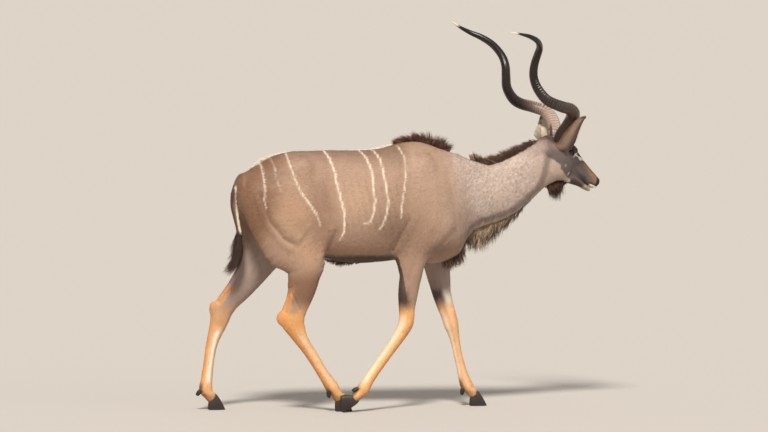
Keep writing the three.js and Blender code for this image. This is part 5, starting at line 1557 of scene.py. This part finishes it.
def nape_colour(roots, at, clump, random):
    count = len(roots)
    colour = tone(srgb(84, 58, 44), random, count, 0.14)
    fair = random.random(count) < 0.05 + 0.5 * bump(at - 0.04, 0.07) * (share_of(clump, 7) < 0.6)
    colour = mix(colour, srgb(214, 186, 154), 0.8 * fair)
    return mix(colour, srgb(72, 52, 44), 0.5 * step(0.5, 0.9, at))


def throat_colour(roots, at, clump, random):
    count = len(roots)
    colour = tone(srgb(96, 70, 54), random, count, 0.2)
    black = (share_of(clump, 9) < 0.5) & (random.random(count) < 0.85)
    colour = mix(colour, srgb(42, 31, 28), 0.85 * black)
    fair = random.random(count) < 0.1 + 0.4 * step(0.7, 0.2, at) * (share_of(clump, 10) < 0.5) * ~black
    return mix(colour, srgb(220, 194, 164), 0.85 * fair)


def brisket_colour(roots, at, clump, random):
    count = len(roots)
    colour = tone(srgb(92, 68, 54), random, count, 0.2)
    return mix(colour, srgb(196, 164, 134), 0.7 * (random.random(count) < 0.22))


def belly_colour(roots, at, clump, random):
    return tone(srgb(96, 70, 54), random, len(roots), 0.2)


def beard_colour(roots, at, clump, random):
    count = len(roots)
    colour = tone(srgb(112, 72, 50), random, count, 0.2)
    return mix(colour, srgb(34, 24, 22), 0.8 * (random.random(count) < 0.35 + 0.2 * step(0.3, 0.7, at)))


def dorsal_colour(roots, at, clump, random):
    return tone(srgb(244, 234, 220), random, len(roots), 0.05)


def tail_hair(material, random):
    """The tuft round the end of the tail's core, down and back."""
    clumps, hairs = TUFT["clumps"], TUFT["hairs"]
    at = (np.arange(clumps) + random.random(clumps)) / clumps
    values = [column(TUFT["rows"], index, at) for index in range(1, 7)]
    count = clumps * hairs
    clump = np.repeat(np.arange(clumps), hairs)
    turn = (np.arange(clumps) * 2.4)[clump] + 0.35 * random.normal(size=count)
    side = columns(np.cos(turn), np.sin(turn), 0 * turn)
    radius = np.interp(values[2], [840, 900, 960], [8, 12, 15])[clump]
    roots = columns(*[v[clump] for v in values[:3]]) + side * radius[:, None]
    roots[:, 2] += 6 * random.normal(size=count)
    lean = np.radians(values[3][clump] + 4 * random.normal(size=count))
    leaving = unit(lean_direction(-1, lean, 0 * lean) + side * math.sin(math.radians(TUFT["splay"])) * 0.8)
    bend = np.radians(TUFT["bend"] * (1 + 0.3 * random.normal(size=clumps)))[clump]
    ending = unit(lean_direction(-1, lean + bend, 0 * lean) - side * 0.10)
    length = (values[4] * random.uniform(0.75, 1.1, size=clumps))[clump]
    length = length * (1 - 0.5 * random.random(count) ** 2)
    width = random.uniform(1.6, 3.0, size=count)
    wave = random.normal(size=(clumps, 3))[clump] * 2.2
    points, triangles = hair_mesh(roots, leaving, ending, side, length, width, wave)
    colour = tone(srgb(44, 33, 29), random, count)
    rusty = share_of(clump, 15) < 0.25 + 0.35 * step(0.5, 1.0, at[clump])
    colour = mix(colour, srgb(90, 62, 50), 0.3 * rusty)
    ramp = np.array([0, 0, 0.08, 0.45, 0.85])[HAIR_RING]
    shade = mix(colour[:, None, :], srgb(108, 78, 64), ramp[None, :]).reshape(-1, 3)
    uv = patch_uv(root_place(roots, np.full(count, CHART_NAMES.index("tail"))), HAIR_CORNERS, HAIR_FACES)
    return own(make_mesh("hair_tail", points, triangles, np.clip(shade, 0, 1), uv), material, "coat")


# Ears

EAR = {"half_breadth": 56, "thickness": 5, "bend": 12, "strips": 40, "rows": 56}
# Sections of an ear: place along it, share of the breadth, curl of its rims in degrees
EAR_SECTIONS = [[-0.1, 0.66, 120], [-0.04, 0.78, 118], [0.08, 0.95, 108], [0.2, 1, 95], [0.36, 1, 80],
                [0.54, 0.88, 66], [0.72, 0.64, 55], [0.87, 0.36, 48], [0.96, 0.15, 45], [1, 0.05, 45]]


def ear_axes(ear):
    side = ear["side"]
    root = np.array([EAR_ROOT[0], side * EAR_ROOT[1], EAR_ROOT[2]], float)
    tip = np.array([ear["tip"][0], side * ear["tip"][1], ear["tip"][2]], float)
    axis = tip - root
    length = np.linalg.norm(axis)
    axis = axis / length
    opening = np.array([ear["facing"][0], side * ear["facing"][1], ear["facing"][2]], float)
    opening = unit(opening - (opening @ axis) * axis)
    return root, axis, length, opening, np.cross(axis, opening)


def ear_point(ear, s, t, layer):
    """Place on an ear from its share along, from -1 to 1 across, on its outer (0) or inner (1) face."""
    root, axis, length, opening, breadth_axis = ear_axes(ear)
    breadth = column(EAR_SECTIONS, 1, s)
    curl = np.radians(column(EAR_SECTIONS, 2, s))
    angle = curl * t
    radius = EAR["half_breadth"] * 0.97 * breadth / np.sin(np.minimum(curl, math.pi / 2))
    bend = EAR["bend"] * np.sin(math.pi * np.clip(s, 0, 1))
    back = root + axis * (length * 0.985 * s)[:, None] - opening * bend[:, None]
    outward = breadth_axis * np.sin(angle)[:, None] - opening * np.cos(angle)[:, None]
    middle = back + opening * (radius * np.minimum(1, 0.35 + 0.65 * breadth))[:, None]
    thick = EAR["thickness"] * (1 - 0.75 * np.abs(t)) * (1 - 0.5 * s)
    fold = 1.3 * np.sin(t * 9) * bump(s - 0.35, 0.3) * layer
    return middle + outward * (radius - layer * thick - fold)[:, None], outward


def ear_uv(name, s, t, layer):
    """Places on the unwrap: the outer face in one half of the ear's chart, the inner face in the other."""
    low_u, low_v, size_u, size_v = CHARTS[f"ear_{name}"]
    return columns(low_u + size_u * (0.25 + 0.22 * t + 0.5 * layer),
                   low_v + size_v * (0.05 + 0.9 * (s + 0.1) / 1.1))


def ear_mesh(name, ear, material):
    rows, strips = EAR["rows"], EAR["strips"]
    s = np.linspace(-0.1, 1, rows)
    t = np.linspace(-1, 1, strips + 1)
    grid_s, grid_t = np.meshgrid(s, t, indexing="ij")
    flat_s, flat_t = grid_s.ravel(), grid_t.ravel()
    outer, _ = ear_point(ear, flat_s, flat_t, 0)
    inner, _ = ear_point(ear, flat_s, flat_t, 1)
    points = from_head(np.concatenate([outer, inner]))
    width = strips + 1
    count = rows * width
    i, k = np.meshgrid(np.arange(rows - 1), np.arange(strips), indexing="ij")
    a = (i * width + k).ravel()
    quads = [columns(a, a + 1, a + width + 1, a + width),
             columns(count + a, count + a + width, count + a + width + 1, count + a + 1)]
    i = np.arange(rows - 1)
    for edge, flip in ((i * width, False), (i * width + strips, True)):
        corners = columns(edge, edge + width, count + edge + width, count + edge)
        quads.append(corners[:, ::-1] if flip else corners)
    k = np.arange(strips)
    quads.append(columns(k + 1, k, count + k, count + k + 1))
    a = (rows - 1) * width + k
    quads.append(columns(a, a + 1, count + a + 1, count + a))
    quads = np.concatenate(quads)
    if ear["side"] > 0:
        quads = quads[:, ::-1]
    triangles = np.concatenate([quads[:, [0, 1, 2]], quads[:, [0, 2, 3]]])
    layer = np.repeat([0, 1], count)
    both_s, both_t = np.tile(flat_s, 2), np.tile(flat_t, 2)
    colours = ear_colour(both_s, both_t, layer, points, ear["side"])
    uv = ear_uv(name, both_s, both_t, layer)[triangles].reshape(-1, 2)
    skin = make_mesh(f"ear_skin_{name}", points, triangles, colours, uv)
    return own(skin, material, "coat", f"ear_{name}")


def ear_colour(s, t, layer, points, side):
    fine = noise(points, 7, 40 + side)
    edge = np.abs(t)
    back = srgb(150, 122, 102) * (1 + 0.06 * fine)[:, None]
    back = mix(back, srgb(160, 134, 118), 0.5 * step(0.45, 0.1, s))
    back = mix(back, srgb(132, 92, 80), 0.55 * blot(s, t * side, 0.08, 0.1, 0.1, 0.35))
    # Dark band along the upper rim of the back: painted shadow of the horn on the ear
    back = mix(back, srgb(70, 58, 54), 0.85 * step(0.4, 0.85, t * side))
    back = mix(back, srgb(214, 196, 178), 0.7 * step(-0.55, -0.85, t * side) * step(0.5, 0.2, s))
    back = mix(back, DARK, 0.85 * step(0.84, 0.97, s))
    back = mix(back, DARK * 1.2, 0.6 * step(0.88, 1.0, edge) * step(0.3, 0.5, s))
    cup = srgb(214, 190, 166) * (1 + 0.06 * fine)[:, None]
    cup = mix(cup, srgb(112, 78, 68), 0.7 * step(0.3, 0.04, s))
    cup = mix(cup, CREAM, 0.85 * step(0.35, 0.75, edge) * step(0.05, 0.2, s))
    cup = mix(cup, CREAM * 0.95, 0.55 * step(0.5, 0.8, s))
    cup = mix(cup, DARK, 0.9 * step(0.88, 0.98, edge) + 0.8 * step(0.86, 0.96, s))
    return np.clip(np.where(layer[:, None] == 0, back, cup), 0, 1)


def ear_coat(name, ear, material, random, amount):
    """Short hair over the back of an ear and long pale hair along the inside of its rims."""
    count = int(amount * 0.62)
    s = random.random(count) ** 1.2 * 1.06 - 0.08
    t = random.uniform(-0.99, 0.99, count)
    roots, outward = ear_point(ear, s, t, 0)
    ahead, _ = ear_point(ear, s + 0.02, t, 0)
    lie = unit(ahead - roots + 0.5 * random.normal(size=roots.shape))
    lie = off_normal(lie, outward)
    length = random.uniform(6, 10, count)
    width = random.uniform(1.6, 2.6, count)
    lift = np.radians(random.uniform(5, 12, count))
    points, faces = blades(roots, outward, lie, length, width, lift, 0.5)
    colour = tone(ear_colour(s, t, np.zeros(count), from_head(roots), ear["side"]), random, count, 0.12)
    tuft_piece(f"coat_ear_{name}", from_head(points), faces, colour, ear_uv(name, s, t, 0), material)

    count = amount - count
    s = random.uniform(0.03, 0.84, count)
    rim = np.where(random.random(count) < 0.5, -1, 1)
    t = rim * random.uniform(0.45, 0.98, count)
    roots, outward = ear_point(ear, s, t, 1)
    _, axis, _, opening, breadth_axis = ear_axes(ear)
    inward = -breadth_axis * rim[:, None]
    leaving = unit(axis * 0.75 - outward * 0.5 + 0.16 * random.normal(size=roots.shape))
    ending = unit(axis * 0.8 + inward * 0.55 + opening * 0.1 + 0.16 * random.normal(size=roots.shape))
    length = random.uniform(14, 30, count) * (1 - 0.45 * s)
    width = random.uniform(1.2, 2.2, count)
    points, faces = hair_mesh(roots, leaving, ending, -outward, length, width)
    colour = tone(CREAM * 0.95, random, count, 0.1)
    colour = mix(colour, srgb(120, 96, 84), 0.5 * (random.random(count) < 0.25))
    shade = np.repeat(colour, len(HAIR_RING), axis=0)
    uv = patch_uv(ear_uv(name, s, t, 1), HAIR_CORNERS, HAIR_FACES)
    own(make_mesh(f"hair_ear_{name}", from_head(points), faces, np.clip(shade, 0, 1), uv), material, "coat")


# Horns, eyes, hooves

def ring_piece(name, rings, shades, material, slot, node):
    """An object with a closed skin through rings of equally many points, a colour for each point."""
    rows, count = rings.shape[:2]
    points = rings.reshape(-1, 3)
    i, k = np.meshgrid(np.arange(rows - 1), np.arange(count), indexing="ij")
    a = (i * count + k).ravel()
    b = (i * count + (k + 1) % count).ravel()
    triangles = [columns(a, b, b + count), columns(a, b + count, a + count)]
    points = np.concatenate([points, rings[0].mean(axis=0)[None], rings[-1].mean(axis=0)[None]])
    k = np.arange(count)
    last = (rows - 1) * count
    triangles.append(columns((k + 1) % count, k, np.full(count, rows * count)))
    triangles.append(columns(last + k, last + (k + 1) % count, np.full(count, rows * count + 1)))
    triangles = np.concatenate(triangles)
    p = points[triangles]
    if (p[:, 0] * np.cross(p[:, 1], p[:, 2])).sum() < 0:
        triangles = triangles[:, ::-1]
    shades = np.asarray(shades).reshape(-1, 3)
    colours = np.clip(np.concatenate([shades, shades[:1], shades[-count:][:1]]), 0, 1)
    return own(make_mesh(name, points, triangles, colours), material, slot, node)


def horn_mesh(name, stations, side, material):
    sides, pieces = 72, 20
    forward = np.array([cy, sy, 0])
    outward = np.array([-sy, cy, 0]) * side
    rows = refine(stations, pieces)
    line = HORN_ORIGIN + rows[:, :3] @ np.array([forward, outward, [0, 0, 1]])
    travelled = np.concatenate([[0], np.cumsum(np.linalg.norm(np.diff(line, axis=0), axis=1))])
    total = travelled[-1]
    across = forward.copy()
    rings, shades = [], []
    angle = np.arange(sides) / sides * 2 * math.pi
    random = np.random.default_rng(SEED + side)
    phase = np.cumsum(1 + 0.22 * random.normal(size=600))
    for i, point in enumerate(line):
        direction = unit(line[min(i + 1, len(line) - 1)] - line[max(i - 1, 0)])
        across = unit(across - (across @ direction) * direction)
        other = np.cross(direction, across)
        share = travelled[i] / total
        count = np.interp(travelled[i], phase * 12.5, np.arange(600))
        ripple = np.sin(count * 2 * math.pi + 0.9 * np.sin(angle + 0.7 * count) + 0.4 * np.sin(3 * angle))
        strength = 1.25 * step(0.72, 0.3, share) * (0.55 + 0.45 * np.cos(angle)) * step(0, 0.01, share)
        grooves = 0.35 * np.sin(angle * 11 + 5 * share) + 0.25 * np.sin(angle * 23 + 9 * share)
        groove_strength = 0.9 * step(1.0, 0.55, share) + 0.1
        keel = 1 + HORN_KEEL * np.maximum(0, np.cos(angle)) ** 4
        relief = ripple * strength + grooves * groove_strength
        radius = rows[i, 3] - 0.9 + relief * min(1, rows[i, 3] / 20)
        radius = np.maximum(radius, 0.8)
        ring = point + across * (radius * keel * np.cos(angle))[:, None] \
            + other * (radius * HORN_FLATNESS * np.sin(angle))[:, None]
        rings.append(ring)
        # Paler inner face and darker outer face of each horn: painted light and shade
        inner_face = step(-0.5, 0.6, -side * (across[1] * np.cos(angle) + other[1] * np.sin(angle)))
        lower = step(0.5, 0.14, share) * (0.25 + 0.75 * inner_face)
        base = mix(srgb(70, 50, 40), srgb(178, 150, 134), inner_face)
        base = mix(base, srgb(30, 20, 16), step(0.1, 0.36, share) + 0 * angle)
        # Painted highlight on the ridge crests of the lower horn
        lit = step(-0.2, 0.8, ripple) * step(-0.5, 0.5, np.cos(angle))
        base = mix(base, srgb(226, 204, 190), 0.8 * lower * lit)
        # Painted shade in the troughs between the ridges
        base = mix(base, srgb(58, 40, 32), 0.6 * step(0.0, -0.9, ripple) * step(0.75, 0.4, share))
        base = mix(base, srgb(24, 17, 15), 0.6 * step(0.5, 0.8, share) * np.ones(sides))
        base = mix(base, srgb(226, 212, 186), step(0.945, 0.972, share + 0.004 * np.sin(angle * 3)))
        shades.append(base)
    return ring_piece(f"horn_sheath_{name}", np.array(rings), shades, material, "horn", f"horn_{name}")


def eye_mesh(name, side, material):
    """An eyeball with a bulge over the iris."""
    rows, sides = 40, 64
    polar = np.linspace(0.002, math.pi - 0.002, rows)
    angle = np.arange(sides) / sides * 2 * math.pi
    radius = EYE_RADIUS - 0.5 + 0.45 * bump(polar / 0.62, 1)
    outward = unit(np.array([0.16, side, 0.03]))
    ahead = unit(np.array([1.0, 0, 0]) - outward[0] * outward)
    upward = np.cross(outward, ahead) * side
    centre = EYE * np.array([1, side, 1])
    spokes = np.cos(angle)[:, None] * ahead + np.sin(angle)[:, None] * upward
    rings = centre + (radius * np.cos(polar))[:, None, None] * outward
    rings = rings + (radius * np.sin(polar))[:, None, None] * spokes
    flat_polar = np.repeat(polar, sides)
    flat_angle = np.tile(angle, rows)
    across = np.sin(flat_polar) * np.cos(flat_angle)
    above = np.sin(flat_polar) * np.sin(flat_angle)
    pupil = np.hypot(across / 0.40, above / 0.20)
    iris = np.hypot(across, above)
    streak = 0.5 + 0.5 * np.sin(flat_angle * 34 + 3 * np.sin(flat_angle * 5))
    colour = mix(srgb(30, 17, 11)[None], srgb(48, 27, 15), 0.5 * streak)
    colour = mix(colour, srgb(5, 4, 5), step(1.15, 0.9, pupil))
    colour = mix(colour, srgb(9, 6, 6), step(0.66, 0.76, iris))
    colour = mix(colour, srgb(34, 24, 20), 0.7 * step(0.88, 0.97, iris) + 0.7 * (flat_polar > 1.4))
    return ring_piece(f"eyeball_{name}", from_head(rings), colour, material, "eye", f"eye_{name}")


# Height of the soles over the ground
SOLE_HEIGHT = 0.3


def claw_mesh(name, stations, outward, material):
    """One claw of a cloven hoof, from under the hair line to the sole."""
    rows, sides = 22, 40
    end, down, ahead = limb_end(stations)
    standing = down[0] > 0
    slant = math.atan2(down[0], -down[2]) if standing else FOOT["slant"]
    height = end[2] if standing else FOOT["height"]
    sole_ahead = ahead * math.cos(slant) + down * math.sin(slant)
    sole_down = down * math.cos(slant) - ahead * math.sin(slant)
    angle = (np.arange(sides) + 0.5) / sides * 2 * math.pi
    rings, shades = [], []
    for t in np.linspace(-0.12, 1, rows):
        clear = max(t, 0)
        tilt = slant * clear
        along = ahead * math.cos(tilt) + down * math.sin(tilt)
        centre = end + sole_ahead * FOOT["forward"] * t + sole_down * height * t
        half = FOOT["top_half"] + (FOOT["sole_half"] - FOOT["top_half"]) * clear
        breadth = FOOT["claw_top"] + (FOOT["claw_sole"] - FOOT["claw_top"]) * clear
        growth = 0.35 * math.sin(t * 46) * (clear < 0.97)
        shrink = 1 - 0.16 * step(0.06, -0.12, t)
        narrowing = 1 - FOOT["toe_point"] * clear * np.maximum(0, np.cos(angle)) ** 2
        side = FOOT["cleft"] + 0.3 + (breadth - 0.5) * (1 + np.sin(angle) * narrowing * shrink)
        inset = 1.2 * step(0.94, 1, t)
        ring = centre + along * ((half * shrink - 0.8 + growth - inset) * np.cos(angle))[:, None]
        ring = ring + np.array([0, outward, 0]) * side[:, None]
        rings.append(ring)
        shade = mix(srgb(52, 42, 38)[None], srgb(30, 25, 24), step(0, 0.7, t) + 0 * angle)
        shades.append(mix(shade, srgb(84, 68, 58), 0.35 * (0.5 + 0.5 * math.sin(t * 46)) + 0 * angle))
    rings = np.array(rings)
    if standing:
        rings[-1, :, 2] = SOLE_HEIGHT
    rings[:, :, 2] = np.maximum(rings[:, :, 2], SOLE_HEIGHT)
    return ring_piece(f"claw_{name}", rings, shades, material, "hoof", f"hoof_{name}")


def dewclaw_mesh(name, stations, outward, material):
    """A small horny claw behind the fetlock."""
    sides = 24
    fetlock = np.array(stations[-3], float)
    a = np.array(stations[-4], float)
    down = unit(np.array([fetlock[0] - a[0], 0, fetlock[1] - a[1]]))
    ahead = np.array([-down[2], 0, down[0]])
    lean = unit(down - 0.6 * ahead)
    across = np.cross(lean, np.array([0, 1.0, 0]))
    start = np.array([fetlock[0], fetlock[2] + outward * DEWCLAW["side"], fetlock[1]]) \
        + ahead * (-fetlock[3] + DEWCLAW["root"] - DEWCLAW["back"]) + down * DEWCLAW["down"]
    angle = np.arange(sides) / sides * 2 * math.pi
    rings = []
    for t in np.linspace(-0.2, 1, 12):
        radius = DEWCLAW["root"] * np.interp(t, [-0.2, 0.35, 0.8, 1], [0.76, 0.96, 0.74, 0.42])
        ring = start + lean * DEWCLAW["length"] * t * 0.985 + across * (radius * np.cos(angle))[:, None]
        rings.append(ring + np.array([0, 1.0, 0]) * (radius * 0.9 * np.sin(angle))[:, None])
    shades = np.tile(srgb(40, 32, 30), (len(rings) * sides, 1))
    return ring_piece(f"false_claw_{name}", np.array(rings), shades, material, "hoof", f"dewclaw_{name}")


# Materials

def new_material(name, roughness, coat=0.0, sheen=0.0, bumps=(), specular=0.4):
    """A material in a piece's own colours, with bumps of scale, stretch, strength and distance."""
    material = bpy.data.materials.new(name)
    material.use_nodes = True
    nodes, links = material.node_tree.nodes, material.node_tree.links
    shader = nodes["Principled BSDF"]
    shader.inputs["Roughness"].default_value = roughness
    shader.inputs["Specular IOR Level"].default_value = specular
    shader.inputs["Coat Weight"].default_value = coat
    shader.inputs["Coat Roughness"].default_value = 0.03
    shader.inputs["Sheen Weight"].default_value = sheen
    colour = nodes.new("ShaderNodeAttribute")
    colour.attribute_name = "coat"
    links.new(colour.outputs["Color"], shader.inputs["Base Color"])
    previous = None
    for scale, stretch, strength, distance in bumps:
        place = nodes.new("ShaderNodeTexCoord")
        mapping = nodes.new("ShaderNodeMapping")
        mapping.inputs["Scale"].default_value = stretch
        texture = nodes.new("ShaderNodeTexNoise")
        texture.inputs["Scale"].default_value = scale
        texture.inputs["Detail"].default_value = 3
        height = nodes.new("ShaderNodeBump")
        height.inputs["Strength"].default_value = strength
        height.inputs["Distance"].default_value = distance
        links.new(place.outputs["Object"], mapping.inputs["Vector"])
        links.new(mapping.outputs["Vector"], texture.inputs["Vector"])
        links.new(texture.outputs["Fac"], height.inputs["Height"])
        if previous is not None:
            links.new(previous.outputs["Normal"], height.inputs["Normal"])
        previous = height
    if previous is not None:
        links.new(previous.outputs["Normal"], shader.inputs["Normal"])
    return material


SKIN = new_material("kudu_skin", 0.6, sheen=0.05,
                    bumps=[(420, (0.25, 1, 1), 0.5, 0.0015), (1500, (1, 1, 1), 0.3, 0.0006)])
HAIR = new_material("kudu_hair", 0.55, sheen=0.05, specular=0.3)
HORN = new_material("kudu_horn", 0.34, bumps=[(260, (1, 1, 0.3), 0.35, 0.0012)])
HOOF = new_material("kudu_hoof", 0.5, bumps=[(300, (1, 1, 0.3), 0.3, 0.001)])
GLOSS = new_material("kudu_eye", 0.08, coat=0.25, specular=0.45)


# The animal

vertices, triangles = skin_mesh()
normals = vertex_normals(vertices, triangles)
skin_nodes = ["torso", "neck", "tail", "head"] + [f"leg_{name}" for name in LEGS]
own(make_mesh("skin", vertices, triangles, coat_colour(vertices), skin_unwrap(vertices, triangles)),
    SKIN, "coat", *skin_nodes)
TUFTS = 110000
EAR_HAIRS = 5200
short_coat(vertices, triangles, normals, TUFTS, HAIR)

random = np.random.default_rng(SEED + 5)
for name, form, colour_of in (
        ("crest", CREST, crest_colour), ("nape", NAPE, nape_colour), ("throat", THROAT, throat_colour),
        ("brisket", BRISKET, brisket_colour), ("belly", BELLY, belly_colour),
        ("beard", BEARD, beard_colour), ("dorsal", DORSAL, dorsal_colour)):
    long_hair(f"hair_{name}", form, colour_of, HAIR, random)
tail_hair(HAIR, random)

for name, ear in EARS.items():
    ear_mesh(name, ear, SKIN)
    ear_coat(name, ear, HAIR, random, EAR_HAIRS)
for name, stations, side in (("right", HORN_RIGHT, -1), ("left", HORN_LEFT, 1)):
    horn_mesh(name, stations, side, HORN)
    eye_mesh(name, side, GLOSS)
for leg, stations in LEGS.items():
    for part, outward in (("right", -1), ("left", 1)):
        claw_mesh(f"{leg}_{part}", stations, outward, HOOF)
        dewclaw_mesh(f"{leg}_{part}", stations, outward, HOOF)


# Floor, light and camera

def plain_material(name, colour, roughness):
    material = bpy.data.materials.new(name)
    material.use_nodes = True
    shader = material.node_tree.nodes["Principled BSDF"]
    shader.inputs["Base Color"].default_value = (*colour, 1)
    shader.inputs["Roughness"].default_value = roughness
    return material


def add_sun(name, towards, strength, softness, colour):
    """A soft distant light from a direction."""
    light = bpy.data.lights.new(name, "SUN")
    light.energy = strength
    light.angle = math.radians(softness)
    light.color = colour
    lamp = bpy.data.objects.new(name, light)
    lamp.rotation_euler = Vector(towards).to_track_quat("Z", "Y").to_euler()
    bpy.context.scene.collection.objects.link(lamp)


FLOOR = {"size": 400, "colour": (0.52, 0.475, 0.43), "roughness": 0.9}
AIR = {"colour": (1.0, 0.97, 0.94, 1), "strength": 0.42}
# Lights: name, direction towards the light, strength, softness in degrees, colour
SUNS = [["key", (-0.24, -0.80, 1.0), 3.9, 12, (1.0, 0.97, 0.92)],
        ["fill", (0.9, -0.7, 0.5), 0.35, 40, (0.95, 0.97, 1.0)]]
# The camera's angle to the animal, its distance, its scale in pixels, and the place in the picture's middle
AZIMUTH, ELEVATION = math.radians(-10), math.radians(4.5)
DISTANCE, FARTHEST = 70.0, 400
PIXELS_PER_METRE, WIDTH = 187.0, 768.0
SENSOR = 36
TARGET = Vector((-0.099, 0.042, 1.037))

bpy.ops.mesh.primitive_plane_add(size=FLOOR["size"], location=(0, 0, 0))
floor = bpy.context.object
floor.name = "floor"
floor.data.materials.append(plain_material("floor", FLOOR["colour"], FLOOR["roughness"]))

world = bpy.data.worlds.new("studio")
bpy.context.scene.world = world
world.use_nodes = True
world.node_tree.nodes["Background"].inputs["Color"].default_value = AIR["colour"]
world.node_tree.nodes["Background"].inputs["Strength"].default_value = AIR["strength"]
bpy.context.scene.view_settings.view_transform = "Standard"
for name, towards, strength, softness, colour in SUNS:
    add_sun(name, towards, strength, softness, colour)

level = math.cos(ELEVATION)
look = Vector((-math.sin(AZIMUTH) * level, math.cos(AZIMUTH) * level, -math.sin(ELEVATION)))
camera = bpy.data.cameras.new("camera")
camera.sensor_width = SENSOR
camera.lens = SENSOR * PIXELS_PER_METRE * DISTANCE / WIDTH
camera.clip_end = FARTHEST
eye = bpy.data.objects.new("camera", camera)
eye.location = TARGET - look * DISTANCE
eye.rotation_euler = look.to_track_quat("-Z", "Y").to_euler()
bpy.context.scene.collection.objects.link(eye)
bpy.context.scene.camera = eye
